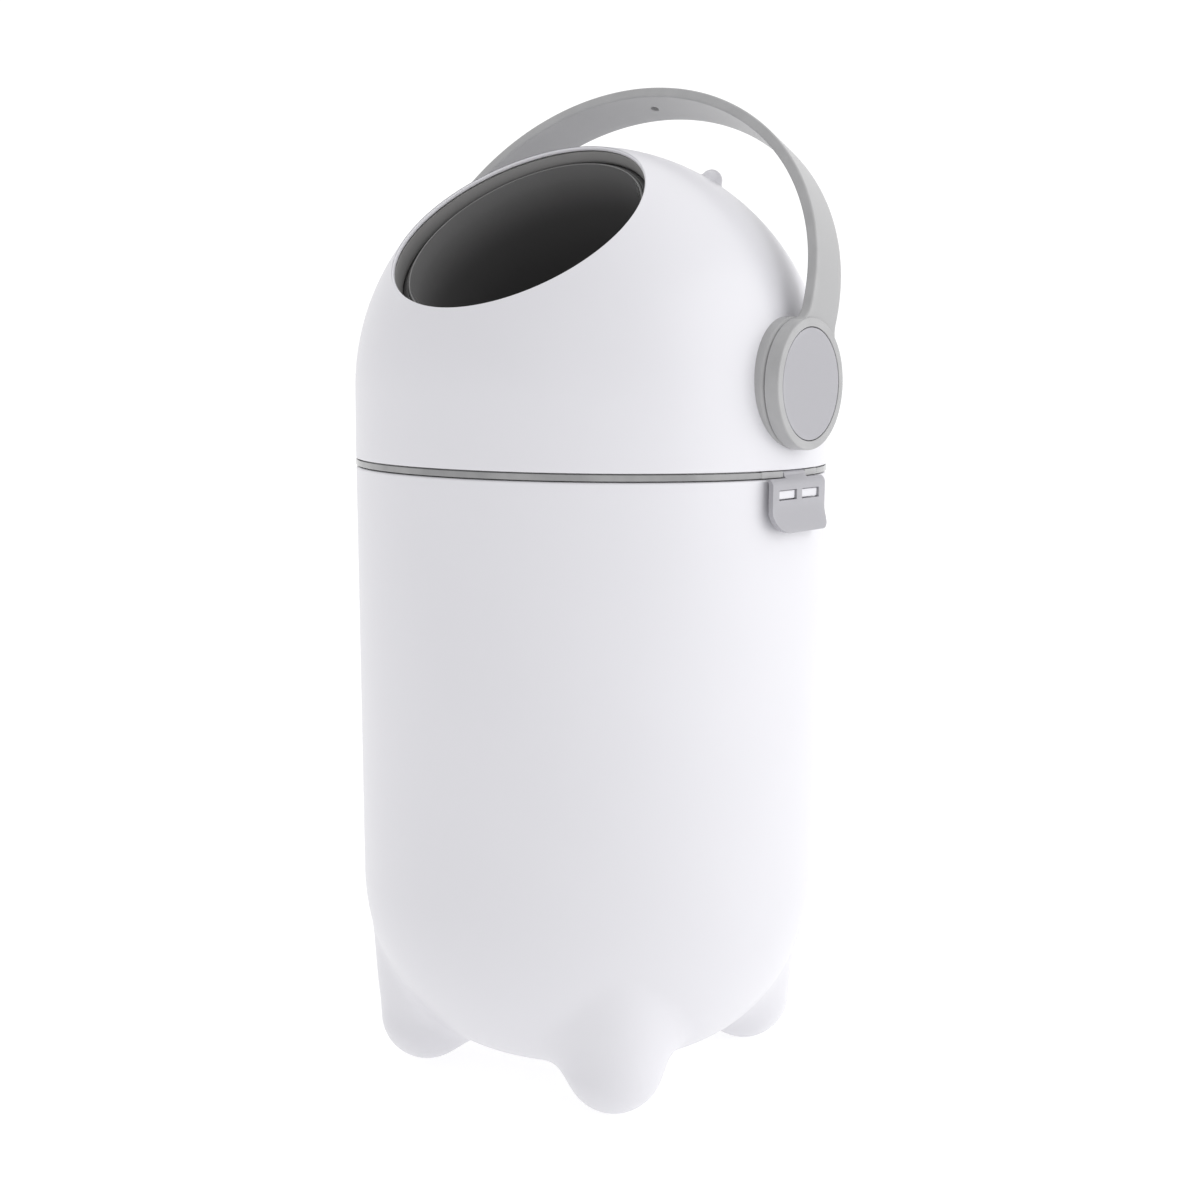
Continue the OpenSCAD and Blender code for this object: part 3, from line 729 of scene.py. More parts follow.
    def skin(self) -> BMesh:
        """Gives the outer skin of the bottom, open at cut_z."""
        bm = self.rough_bottom()
        bmesh.ops.bisect_plane(bm, geom=whole(bm), dist=1e-4, plane_co=(0, 0, self.cut_z), plane_no=(0, 0, 1),
                               clear_outer=True)
        bmesh.ops.remove_doubles(bm, verts=open_points(bm), dist=0.9)
        free = [v for v in bm.verts if not v.is_boundary]
        self.settle(bm, 6)
        for _ in range(4):
            bmesh.ops.smooth_vert(bm, verts=free, factor=0.5, use_axis_x=True, use_axis_y=True,
                                  use_axis_z=True)
            self.settle(bm, 3)
        for v in bm.verts:
            if v.is_boundary:
                v.co = ring_point(v.co, self.wall_r(self.cut_z), self.cut_z)
        bmesh.ops.recalc_face_normals(bm, faces=bm.faces)
        if min(bm.faces, key=lambda f: f.calc_center_median().z).normal.z > 0:
            bmesh.ops.reverse_faces(bm, faces=bm.faces)
        return bm

    def lining(self, bm: BMesh) -> None:
        """Adds the bottom's inner skin, one wall thickness inside the outer one."""
        copy = bmesh.ops.duplicate(bm, geom=whole(bm))["geom"]
        inner = [g for g in copy if isinstance(g, BMVert)]
        p = np.array([v.co for v in inner], float)
        g = self.slope(p)
        p -= WALL * g / np.maximum(np.linalg.norm(g, axis=1), 1e-6)[:, None]
        for v, q in zip(inner, p):
            v.co = q
            if v.is_boundary:
                v.co = ring_point(v.co, self.wall_r(self.cut_z) - WALL, self.cut_z)
        bmesh.ops.reverse_faces(bm, faces=[f for f in copy if isinstance(f, BMFace)])

    def make(self, shop: Workshop) -> None:
        """Builds the bucket."""
        bm = self.skin()
        outer = [e for e in bm.edges if e.is_boundary]
        self.lining(bm)
        bead = WALL / 2
        path = [self.wall_point(z) for z in (*self.wall_z, self.high_z, *reversed(self.top_z))]
        path += arc((self.rim_r - bead, self.rim_z), bead, 0, 180, 10)
        path += [self.wall_point(z, WALL) for z in (*self.top_z, self.ledge_top)]
        ledge_in = self.wall_r(self.ledge_z) - WALL
        path += rounded([(ledge_in, self.ledge_top), (ledge_in, self.ledge_z, 0.6),
                         (self.ledge_r, self.ledge_z, 0.5), (self.ledge_r, self.ledge_z - self.ledge_t, 0.4),
                         (self.wall_r(self.gusset_z) - WALL, self.gusset_z, 1.5),
                         (self.wall_r(self.gusset_low) - WALL, self.gusset_low)], closed=False, steps=3)[1:]
        path += [self.wall_point(z, WALL) for z in (*reversed(self.wall_z), self.cut_z)]
        grow_rings(bm, outer, path)
        bmesh.ops.remove_doubles(bm, verts=open_points(bm), dist=0.25)
        size = (self.tooth_out - self.tooth_in, 2 * self.tooth_half, self.tooth_high - self.tooth_low)
        for side, s in ((-1, -1), (-1, 1), (1, -1), (1, 1)):
            middle = (side * (self.tooth_in + self.tooth_out) / 2, s * self.tooth_place,
                      (self.tooth_low + self.tooth_high) / 2)
            tooth = box(bm, middle, size)
            soften(bm, list({e for v in tooth for e in v.link_edges}), self.tooth_edge)
        for v in bm.verts:
            v.co.z = max(v.co.z, 0.0)
        shop.finish(bm, "bucket", Look.WHITE_SHELL, "bucket", "bucket_shell")


@dataclass
class BagRing:
    """Loose ring that clamps the bag's edge on the ledge."""

    outer_r: float = 136.3
    inner_r: float = 128.0
    low_z: float = 346.0
    high_z: float = 352.0
    thick: float = 2.0

    def make(self, shop: Workshop) -> None:
        """Builds the ring, with the upright collar on its inside."""
        bm = bmesh.new()
        step_r, step_z = self.inner_r + self.thick, self.low_z + self.thick
        section = [(self.inner_r, self.low_z, 0.4), (self.outer_r, self.low_z, 0.5),
                   (self.outer_r, step_z, 0.6), (step_r, step_z, 0.8), (step_r, self.high_z, 0.7),
                   (self.inner_r, self.high_z, 0.7)]
        turn(bm, rounded(section, closed=True, steps=4), UPRIGHT, 192)
        shop.finish(bm, "bag_clamp", Look.LIGHT_TRIM, "bag_ring", "bag_ring")


# ---------------------------------------------------------------- head


def axle_from_mouth(tilt: float) -> Vector:
    """The axle's middle seen from the dome's middle, in the axes of a mouth with a tilt in degrees."""
    lean, rise = math.radians(tilt), AXLE_Z - DOME_Z
    return Vector((0, rise * math.sin(lean), rise * math.cos(lean)))


@dataclass
class Dome:
    """White dome with a slanted mouth, a lip behind it, two small ears, axle pads and screw bosses."""

    low_z: float = 368.0
    skirt_z: tuple[float, ...] = (404.0, 396.0, 386.0, 378.0, 370.0)
    mouth_r: float = 75.3
    mouth_tilt: float = 38.3
    rim_round: float = 1.1
    skin_end: float = -42.0
    lip_low: float = 100.0
    lip_end_r: float = 129.0
    liner_t: float = 1.2
    groove_r: float = 77.8
    groove_low: float = 113.7
    groove_top: float = 115.2
    rise: float = 1.015
    ear_r: float = 6.4
    ear_x: float = 60.4
    ear_y: float = 33.0
    ear_reach: float = 17.0
    ear_fillet: float = 2.0
    bush_r: float = 17.0
    pad_r: float = 25.0
    pad_x: float = 132.0
    boss_place: float = 128.0
    boss_hole_r: float = 1.55
    boss_r: float = 4.0
    boss_low: float = 360.0
    boss_high: float = 386.0

    @staticmethod
    def on_sphere(r: float) -> tuple[float, float]:
        """The outer skin's point at a radius from the mouth's axis."""
        return r, math.sqrt(DOME_R ** 2 - r ** 2)

    def mouth_sphere(self, bm: BMesh) -> None:
        """Spins the thick sphere round the mouth's axis, with its rounded rim and lip."""
        inner_r, lip_r = DOME_R - WALL, self.mouth_r + WALL
        recess_r = self.mouth_r + self.liner_t
        inner_start = math.degrees(math.acos(lip_r / inner_r)) - 1.2
        outline = arc((0, 0), inner_r, self.skin_end, inner_start, 46)
        outline += rounded([tuple(outline[-1]), (lip_r, math.sqrt(inner_r ** 2 - lip_r ** 2), 0.8),
                            (lip_r, self.lip_low, 0.4), (recess_r, self.lip_low, 0.3),
                            (recess_r, self.groove_low), (self.groove_r, self.groove_low),
                            (self.groove_r, self.groove_top), (self.mouth_r, self.groove_top, 0.2),
                            (*self.on_sphere(self.mouth_r), self.rim_round),
                            self.on_sphere(self.mouth_r + 3.0)], closed=False, steps=4)[1:-1]
        outline += [Vector(self.on_sphere(self.mouth_r + 1.1))]
        outer_start = math.degrees(math.acos((self.mouth_r + 1.6) / DOME_R))
        outline += arc((0, 0), DOME_R, outer_start, self.skin_end, 52)
        made = turn(bm, outline, UPRIGHT, 256, closed=False)
        centre = axle_from_mouth(self.mouth_tilt)
        for v in made:
            r = math.hypot(v.co.x, v.co.y)
            if self.lip_low - 1 < v.co.z < self.lip_low + 4 and self.mouth_r - 1 < r < lip_r + 0.01:
                flat = (v.co.x - centre.x) ** 2 + (v.co.y - centre.y) ** 2
                v.co.z += centre.z + math.sqrt(self.lip_end_r ** 2 - flat) - self.lip_low
        bmesh.ops.transform(bm, matrix=tilted(DOME_Z, self.mouth_tilt), verts=made)

    def skirt(self, bm: BMesh) -> None:
        """Cuts the sphere level, then draws both skins straight down and joins them at the seam."""
        bmesh.ops.bisect_plane(bm, geom=whole(bm), dist=1e-4, plane_co=(0, 0, DOME_Z), plane_no=(0, 0, 1),
                               clear_inner=True)
        bmesh.ops.remove_doubles(bm, verts=open_points(bm), dist=0.8)
        middle = DOME_R - WALL / 2
        ends = []
        for outside in (True, False):
            radius, inward = (DOME_R, -1) if outside else (DOME_R - WALL, 1)
            loop = [e for e in bm.edges if e.is_boundary and abs(e.verts[0].co.z - DOME_Z) < 0.01
                    and (e.verts[0].co.xy.length > middle) == outside]
            for v in {v for e in loop for v in e.verts}:
                v.co = ring_point(v.co, radius, DOME_Z)
            path = [Vector((radius, z)) for z in self.skirt_z]
            path += [Vector((radius + inward * a, self.low_z + b))
                     for a, b in ((0, 0.4), (0.12, 0.12), (0.4, 0))]
            ends += grow_rings(bm, loop, path)
        bmesh.ops.bridge_loops(bm, edges=ends)

    def lift(self, bm: BMesh) -> None:
        """Draws the dome's skins up a little, so that the crown is slightly taller than a ball."""
        for v in bm.verts:
            if v.co.z > DOME_Z and (v.co - Vector((0, 0, DOME_Z))).length > self.lip_end_r + 3:
                v.co.z = DOME_Z + (v.co.z - DOME_Z) * self.rise

    def skin_x(self, y: float, z: float, radius: float) -> float:
        """Distance of a skin from the YZ plane at a point beside the axle."""
        up = max(z - DOME_Z, 0) / self.rise
        return math.sqrt(radius ** 2 - y * y - up * up)

    def ear(self, bm: BMesh, side: int) -> None:
        """Grows one small ear out of the outer skin, with a soft fillet round its foot."""
        centre, middle = Vector((0, 0, DOME_Z)), DOME_R - WALL / 2
        height = math.sqrt(DOME_R ** 2 - self.ear_x ** 2 - self.ear_y ** 2)
        way = Vector((side * self.ear_x, self.ear_y, height)).normalized()

        def beside(co: Vector) -> Vector:
            """The way from the ear's own axis to a point."""
            return (co - centre) - way * (co - centre).dot(way)

        def near(co: Vector, limit: float) -> bool:
            """Whether a point of the outer skin lies within a distance of the ear's axis."""
            return (co - centre).dot(way) > 0 and (co - centre).length > middle and beside(co).length < limit

        close = [e for e in bm.edges if all(near(v.co, self.ear_reach) for v in e.verts)]
        bmesh.ops.subdivide_edges(bm, edges=close, cuts=1, use_grid_fill=True)
        for v in bm.verts:
            if near(v.co, self.ear_reach + 0.5):
                v.co = centre + (v.co - centre).normalized() * DOME_R
        fillet = self.ear_fillet
        loop = punch(bm, lambda co: near(co, self.ear_r + fillet + 0.2),
                     lambda co: (co - centre).length > middle)
        foot = math.sqrt((self.ear_r + fillet) ** 2 - fillet ** 2)
        lean = math.degrees(math.atan2(fillet, foot))
        rings = arc((foot, fillet), fillet, 270, 180 + lean, 5) + arc((0, 0), self.ear_r, lean, 86, 9)[1:]

        def put(co: Vector, ring: Vector) -> Vector:
            """Where a vertex goes on one ring of the ear."""
            level = math.sqrt(DOME_R ** 2 - min(ring.x, foot) ** 2) + ring.y
            return centre + way * level + beside(co).normalized() * ring.x

        for ring in rings:
            loop = grow(bm, loop, lambda co, q=ring: put(co, q))
        close_top(bm, loop, centre + way * (DOME_R + self.ear_r))

    def axle_hole(self, bm: BMesh, side: int) -> None:
        """Cuts the axle's hole through both skins and thickens the wall round it."""
        far_x, spare = 100.0, 1.5

        def off_axis(co: Vector) -> float:
            """Distance of a point from the axle's line."""
            return math.hypot(co.y, co.z - AXLE_Z)

        def ring(co: Vector, radius: float, skin: float | None) -> Vector:
            """A point round the axle, on a skin or at the pad's face."""
            k = radius / off_axis(co)
            y, z = co.y * k, AXLE_Z + (co.z - AXLE_Z) * k
            return Vector((side * (self.skin_x(y, z, skin) if skin else self.pad_x), y, z))

        def outside(co: Vector) -> bool:
            """Whether a point is nearer the outer skin than the inner one."""
            up = max(co.z - DOME_Z, 0) / self.rise
            return math.sqrt(co.x ** 2 + co.y ** 2 + up ** 2) > DOME_R - WALL / 2

        ends = []
        for radius, skin, outer in ((self.pad_r, DOME_R - WALL, False), (self.bush_r, DOME_R, True)):
            loop = punch(bm, lambda co, r=radius: side * co.x > 0 and off_axis(co) < r + spare,
                         lambda co, o=outer: side * co.x > far_x and outside(co) == o)
            loop = grow(bm, loop, lambda co, r=radius, s=skin: ring(co, r, s))
            ends = grow(bm, loop, lambda co, r=radius: ring(co, r, None)) + ends
        bmesh.ops.bridge_loops(bm, edges=ends)

    def make(self, shop: Workshop) -> None:
        """Builds the dome."""
        bm = bmesh.new()
        self.mouth_sphere(bm)
        self.skirt(bm)
        for side in (-1, 1):
            self.ear(bm, side)
        self.lift(bm)
        for side in (-1, 1):
            self.axle_hole(bm, side)
        boss = [(self.boss_hole_r, self.boss_low, 0.2), (self.boss_r, self.boss_low, 0.3),
                (self.boss_r, self.boss_high, 0.6), (self.boss_hole_r, self.boss_high, 0.3)]
        rib_at, rib = (134.2, 0, 381.5), (7.0, 2.4, 8.5)
        for angle, x, y in spots(self.boss_place, 30, 6):
            turn(bm, rounded(boss, closed=True, steps=2), Matrix.Translation((x, y, 0)), 24)
            bmesh.ops.rotate(bm, verts=box(bm, rib_at, rib), cent=(0, 0, 0),
                             matrix=Matrix.Rotation(angle, 3, "Z"))
        shop.finish(bm, "dome", Look.WHITE_SHELL, "head", "dome_shell")


@dataclass
class SeamBand:
    """Grey band between bucket and dome, with the skirt that drops into the bucket."""

    outer_r: float = 140.0
    skirt_r: float = 135.2
    inner_r: float = 132.6
    spigot_r: float = 137.0
    low_z: float = 363.6
    seam_z: float = 368.0
    floor_top: float = 360.0
    spigot_top: float = 376.0
    base_half: float = 30.2
    groove: float = 2.4
    groove_low: float = 0.35
    groove_high: float = 0.7
    joint: float = 0.02

    def make(self, shop: Workshop) -> None:
        """Builds the band in two arcs between the latch bases, on one full ring."""
        bm = bmesh.new()
        ring = [(self.inner_r, self.floor_top, 0.3), (self.skirt_r, self.floor_top, 0.5),
                (self.skirt_r, self.seam_z), (self.spigot_r, self.seam_z, 0.2),
                (self.spigot_r, self.spigot_top, 0.6), (self.inner_r, self.spigot_top, 0.4)]
        turn(bm, rounded(ring, closed=True, steps=3), UPRIGHT, 256)
        groove, root = self.outer_r - self.groove, self.skirt_r - 0.6
        low, high = self.low_z + self.groove_low, self.seam_z - self.groove_high
        top = self.seam_z - self.joint
        face = [(root, self.low_z), (groove, self.low_z, 0.1), (groove, low, 0.08), (self.outer_r, low, 0.35),
                (self.outer_r, high, 0.35), (groove, high, 0.08), (groove, top), (root, top)]
        gap = math.asin(self.base_half / self.outer_r)
        for start in (gap, math.pi + gap):
            turn(bm, rounded(face, closed=True, steps=3), UPRIGHT, 150, start=start, sweep=math.pi - 2 * gap)
        shop.finish(bm, "seam_band", Look.MID_BAND, "head", "band_ring")


@dataclass
class MouthSeal:
    """Rubber ring under the mouth's lip that wipes the drum, with a liner up to the mouth's rim."""

    inner_r: float = 75.7
    outer_r: float = 78.8
    liner_r: float = 76.47
    back_r: float = 77.75
    back_t: float = 0.4
    edge_ball: float = 125.3
    lip_ball: float = 129.0
    play: float = 0.03

    def make(self, shop: Workshop, dome: Dome) -> None:
        """Builds the seal: its edge follows the drum, its shoulder the lip and its liner the rim."""
        bm = bmesh.new()
        low, top = dome.groove_low + self.play, dome.groove_top - self.play
        front_r, shelf = self.back_r - self.back_t, low + self.back_t
        section = [(self.inner_r, 0.0, 0.3), (self.outer_r, 0.0, 0.3), (self.outer_r, 1.0),
                   (self.liner_r, 1.0), (self.liner_r, low), (self.back_r, low), (self.back_r, top),
                   (front_r, top), (front_r, shelf, 0.15), (self.inner_r, shelf, 0.3)]
        made = turn(bm, rounded(section, closed=True, steps=3), UPRIGHT, 192)
        centre = axle_from_mouth(dome.mouth_tilt)
        matrix = tilted(DOME_Z, dome.mouth_tilt)
        for v in made:
            liner = v.co.z > top / 2
            if not liner:
                flat = (v.co.x - centre.x) ** 2 + (v.co.y - centre.y) ** 2
                edge, lip = (math.sqrt(ball ** 2 - flat) for ball in (self.edge_ball, self.lip_ball))
                v.co.z = centre.z + edge + (lip - edge) * v.co.z
            v.co = matrix @ v.co
            if liner:
                v.co.z = DOME_Z + (v.co.z - DOME_Z) * dome.rise
        shop.finish(bm, "mouth_wiper", Look.SOFT_RUBBER, "head", "mouth_seal")


@dataclass
class HubCollar:
    """Grey collar between the dome and a hub, fitted to the dome's curve."""

    radius: float = 37.0
    face_x: float = 140.4
    back_x: float = 130.0
    edge: float = 2.6
    back_rings: tuple[float, ...] = (33.0, 28.0, 22.0)
    sunk: float = 0.25

    def make(self, shop: Workshop, dome: Dome) -> None:
        """Builds both collars."""
        for side, name in SIDES:
            bm = bmesh.new()
            outline = rounded([(dome.bush_r, self.back_x), (dome.bush_r, self.face_x, 0.3),
                               (self.radius, self.face_x, self.edge), (self.radius, self.back_x)],
                              closed=False, steps=6)
            outline += [Vector((r, self.back_x)) for r in self.back_rings]
            made = turn(bm, outline, UPRIGHT, 160)
            for v in made:
                skin = dome.skin_x(v.co.y, AXLE_Z - v.co.x * side, DOME_R)
                if v.co.z < self.back_x + 1:
                    v.co.z = skin - self.sunk
                elif math.hypot(v.co.x, v.co.y) > self.radius - 0.05:
                    v.co.z = max(v.co.z, skin - self.sunk + 0.05)
            bmesh.ops.transform(bm, matrix=along_x(side, AXLE_Z), verts=made)
            shop.finish(bm, f"hub_collar_{name}", Look.LIGHT_TRIM, "head", f"collar_{name}")


@dataclass
class Latch:
    """Side latch with two windows on its pin, and the base that carries it."""

    half_w: float = 29.0
    tab_x: float = 143.4
    tab_t: float = 2.9
    low_z: float = 333.5
    flare_z: float = 345.0
    flare_out: float = 2.7
    front_corner: tuple[float, float] = (17.0, 12.0)
    rear_corner: float = 5.0
    edge: float = 0.38
    pin_x: float = 138.0
    pin_z: float = 365.7
    neck_t: float = 1.6
    shoulder: float = 363.6
    knuckle_r: float = 1.9
    knuckle_half: float = 11.7
    window_top: float = 357.3
    window_h: float = 5.6
    window_y: tuple[float, float] = (2.9, 22.1)
    bends: tuple[float, ...] = (335.5, 338.0, 341.0, 343.5, 344.4, 345.0, 345.6, 346.5, 359.4, 360.2, 360.8,
                                361.4, 362.0, 362.6, 364.6)
    seat_in: float = 134.8
    seat_r: float = 139.95
    seat_low: float = 363.9
    seat_top: float = 367.5
    seat_half: float = 30.0
    slot_half: float = 12.0
    web_t: float = 0.9

    def face_x(self, z: float, outside: bool) -> float:
        """Distance of the latch's outer or inner face from the YZ plane at a height."""
        slant = self.neck_t / math.sqrt(2) * (1 if outside else -1)
        flat = self.tab_x if outside else self.tab_x - self.tab_t
        neck = self.pin_x + self.pin_z + slant - z
        flare = self.flare_out * (self.flare_z - z) / (self.flare_z - self.low_z)
        return self.soft_min(flat, neck, 1.6) - self.soft_min(0.0, -flare, 0.35)

    @staticmethod
    def soft_min(a: float, b: float, k: float) -> float:
        """The smaller of two values, with a rounded change between them."""
        h = max(k - abs(a - b), 0) / k
        return min(a, b) - h * h * k / 4

    @staticmethod
    def cut(bm: BMesh, along: float, axis: int) -> None:
        """Divides the flat plate along one line across an axis."""
        way = Matrix.Identity(3)[axis]
        bmesh.ops.bisect_plane(bm, geom=whole(bm), dist=1e-5, plane_co=way * along, plane_no=way)

    def plate(self) -> BMesh:
        """Makes the latch as a flat plate with rounded lower corners and windows, then bends it."""
        bm = bmesh.new()
        top, half = self.pin_z + 0.2, self.half_w
        corners = [(-half, self.low_z), (half, self.low_z), (half, top), (-half, top)]
        verts = [bm.verts.new((0, y, z)) for y, z in corners]
        bm.faces.new(verts)
        long, tall = self.front_corner
        for vert, size in ((verts[0], tall), (verts[1], self.rear_corner)):
            bmesh.ops.bevel(bm, geom=[vert], offset=size, offset_type="OFFSET", segments=14, profile=0.5,
                            affect="VERTICES", material=-1)
        for v in bm.verts:
            if v.co.y < 0 and v.co.z < self.low_z + tall - 0.01:
                v.co.y = (v.co.y + half) * long / tall - half
        near, far = self.window_y
        window_low = self.window_top - self.window_h
        for y in (-far, -near, near, far, -self.knuckle_half, self.knuckle_half):
            self.cut(bm, y, 1)
        for z in sorted((*self.bends, window_low, self.window_top, self.shoulder)):
            self.cut(bm, z, 2)
        gone = []
        for f in bm.faces:
            c = f.calc_center_median()
            window = window_low < c.z < self.window_top and near < abs(c.y) < far
            if window or (abs(c.y) > self.knuckle_half and c.z > self.shoulder):
                gone.append(f)
        bmesh.ops.delete(bm, geom=gone, context="FACES")
        bmesh.ops.recalc_face_normals(bm, faces=bm.faces)
        if next(iter(bm.faces)).normal.x < 0:
            bmesh.ops.reverse_faces(bm, faces=bm.faces)
        outer = set(bm.verts)
        bmesh.ops.extrude_face_region(bm, geom=bm.faces[:], use_keep_orig=True)
        for v in bm.verts:
            v.co.x = self.face_x(v.co.z, v in outer)
        bmesh.ops.recalc_face_normals(bm, faces=bm.faces)
        return bm

    def cover(self) -> BMesh:
        """Gives the plate soft edges and its knuckle."""
        bm = self.plate()
        sharp = [e for e in bm.edges if e.is_manifold and e.calc_face_angle(0) > math.radians(40)]
        soften(bm, sharp, self.edge)
        half = self.knuckle_half
        knuckle = rounded([(0, -half), (self.knuckle_r, -half, 0.3), (self.knuckle_r, half, 0.3), (0, half)],
                          closed=False, steps=3)
        place = Matrix.Translation((self.pin_x, 0, self.pin_z)) @ Matrix.Rotation(math.pi / 2, 4, "X")
        turn(bm, knuckle, place, 32, closed=False)
        return bm

    def seat(self) -> BMesh:
        """Builds the base: two blocks on the seam with a thin web between them."""
        bm = bmesh.new()
        half, slot = (math.asin(width / DOME_R) for width in (self.seat_half, self.slot_half))
        web_r = self.seat_in + self.web_t
        for outer_r, edge, steps, segments, start, sweep in (
                (self.seat_r, 0.35, 3, 24, -half, half - slot), (self.seat_r, 0.35, 3, 24, slot, half - slot),
                (web_r, 0.1, 2, 16, -slot, 2 * slot)):
            section = [(self.seat_in, self.seat_low), (outer_r, self.seat_low, edge),
                       (outer_r, self.seat_top, edge), (self.seat_in, self.seat_top)]
            turn(bm, rounded(section, closed=True, steps=steps), UPRIGHT, segments, start=start, sweep=sweep)
        return bm

    def make(self, shop: Workshop) -> None:
        """Builds both latches and both bases."""
        cover, seat = self.cover(), self.seat()
        for name, bm in (("right", cover), ("left", mirror_copy(cover))):
            shop.finish(bm, f"latch_cover_{name}", Look.CAP_TRIM, f"latch_{name}", f"latch_{name}")
        for name, bm in (("right", seat), ("left", mirror_copy(seat))):
            shop.finish(bm, f"latch_seat_{name}", Look.LIGHT_TRIM, "head", f"latch_base_{name}")


# ---------------------------------------------------------------- drum


@dataclass
class Drum:
    """Dark drum: a ball flattened at its ends, and the bowl set into its mouth."""

    radius: float = 125.0
    wall: float = 2.5
    mouth_r: float = 72.0
    tilt: float = 40.5
    end_x: float = 116.0
    end_t: float = 3.0
    end_hole_r: float = 41.5
    bowl_depth: float = 145.0
    bowl_lip_r: float = 71.7
    bowl_in_r: float = 69.0
    bowl_low_r: float = 62.0
    bowl_round: float = 34.0
    bowl_t: float = 2.4
    mouth_edge: float = 3.0
    lip_from: float = 9.0
    lip_over: float = 1.2
    rim_from: float = 11.8
    side_from: float = 12.0
    side_low: float = 30.0
    base_r: float = 40.0

    def ball(self, shop: Workshop) -> None:
        """Builds the drum's ball with its flat ends."""
        bm = bmesh.new()
        inner_r, edge_r = self.radius - self.wall, self.mouth_r + self.mouth_edge
        outline = arc((0, 0), inner_r, -90, math.degrees(math.acos(self.mouth_r / inner_r)), 56)
        outline += rounded([tuple(outline[-1]),
                            (self.mouth_r, math.sqrt(self.radius ** 2 - self.mouth_r ** 2), 0.25),
                            (edge_r, math.sqrt(self.radius ** 2 - edge_r ** 2))], closed=False, steps=3)[1:-1]
        top_out = math.degrees(math.acos((self.mouth_r + 1.2) / self.radius))
        outline += arc((0, 0), self.radius, top_out, -90, 56)
        turn(bm, outline, tilted(AXLE_Z, self.tilt), 192, closed=False)
        for side in (-1, 1):
            self.flat_end(bm, side)
        shop.finish(bm, "drum_ball", Look.DARK_DRUM, "drum", "drum_shell")

    def flat_end(self, bm: BMesh, side: int) -> None:
        """Cuts one end of the ball flat and puts a flat ring there."""
        middle, centre = self.radius - self.wall / 2, Vector((0, 0, AXLE_Z))
        planes = (self.end_x, self.end_x - self.end_t)
        loops = []
        for outside, x in zip((True, False), planes):
            faces = []
            for f in bm.faces:
                c = f.calc_center_median()
                if ((c - centre).length > middle) == outside and side * c.x > 90:
                    faces.append(f)
            edges, verts = {e for f in faces for e in f.edges}, {v for f in faces for v in f.verts}
            bmesh.ops.bisect_plane(bm, geom=[*faces, *edges, *verts], dist=1e-4, plane_co=(side * x, 0, 0),
                                   plane_no=(side, 0, 0), clear_outer=True)
            loops.append([e for e in bm.edges if e.is_boundary
                          and all(abs(v.co.x - side * x) < 0.01 for v in e.verts)])
        rim = loops[0]
        for x in planes:
            rim = grow(bm, rim, lambda co, q=x: self.end_point(co, side * q))
        bmesh.ops.bridge_loops(bm, edges=rim + [e for e in loops[1] if e.is_valid])

    def end_point(self, co: Vector, x: float) -> Vector:
        """The point on the end's hole at a distance along the axle, in a point's own direction."""
        way = Vector((0, co.y, co.z - AXLE_Z)).normalized() * self.end_hole_r
        return Vector((x, way.y, way.z + AXLE_Z))

    def bowl(self, shop: Workshop) -> None:
        """Builds the bowl with its rolled lip."""
        bm = bmesh.new()
        mouth_h = math.sqrt(self.radius ** 2 - self.mouth_r ** 2)
        low, t, r = mouth_h - self.bowl_depth, self.bowl_t, self.bowl_in_r
        lip_top = math.sqrt((self.radius - 0.1) ** 2 - self.bowl_lip_r ** 2)
        outline = [Vector((0, low + t))]
        outline += rounded([(0, low + t), (self.bowl_low_r - 1.0, low + t, self.bowl_round - t),
                            (r + 0.4, mouth_h - self.lip_from, 6.0), (r + 1.4, mouth_h + self.lip_over, 0.4),
                            (self.bowl_lip_r, lip_top, 0.2), (self.bowl_lip_r, mouth_h - self.rim_from, 0.5),
                            (r + t - 0.3, mouth_h - self.side_from),
                            (self.bowl_low_r + t, low + self.side_low, self.bowl_round),
                            (self.base_r, low, 20.0), (0, low)], closed=False, steps=8)[1:]
        turn(bm, outline, tilted(AXLE_Z, self.tilt), 192, closed=False)
        shop.finish(bm, "drum_liner", Look.DRUM_LINER, "drum", "drum_bowl")

    def make(self, shop: Workshop) -> None:
        """Builds the drum's two visible pieces."""
        self.ball(shop)
        self.bowl(shop)


# ---------------------------------------------------------------- handle


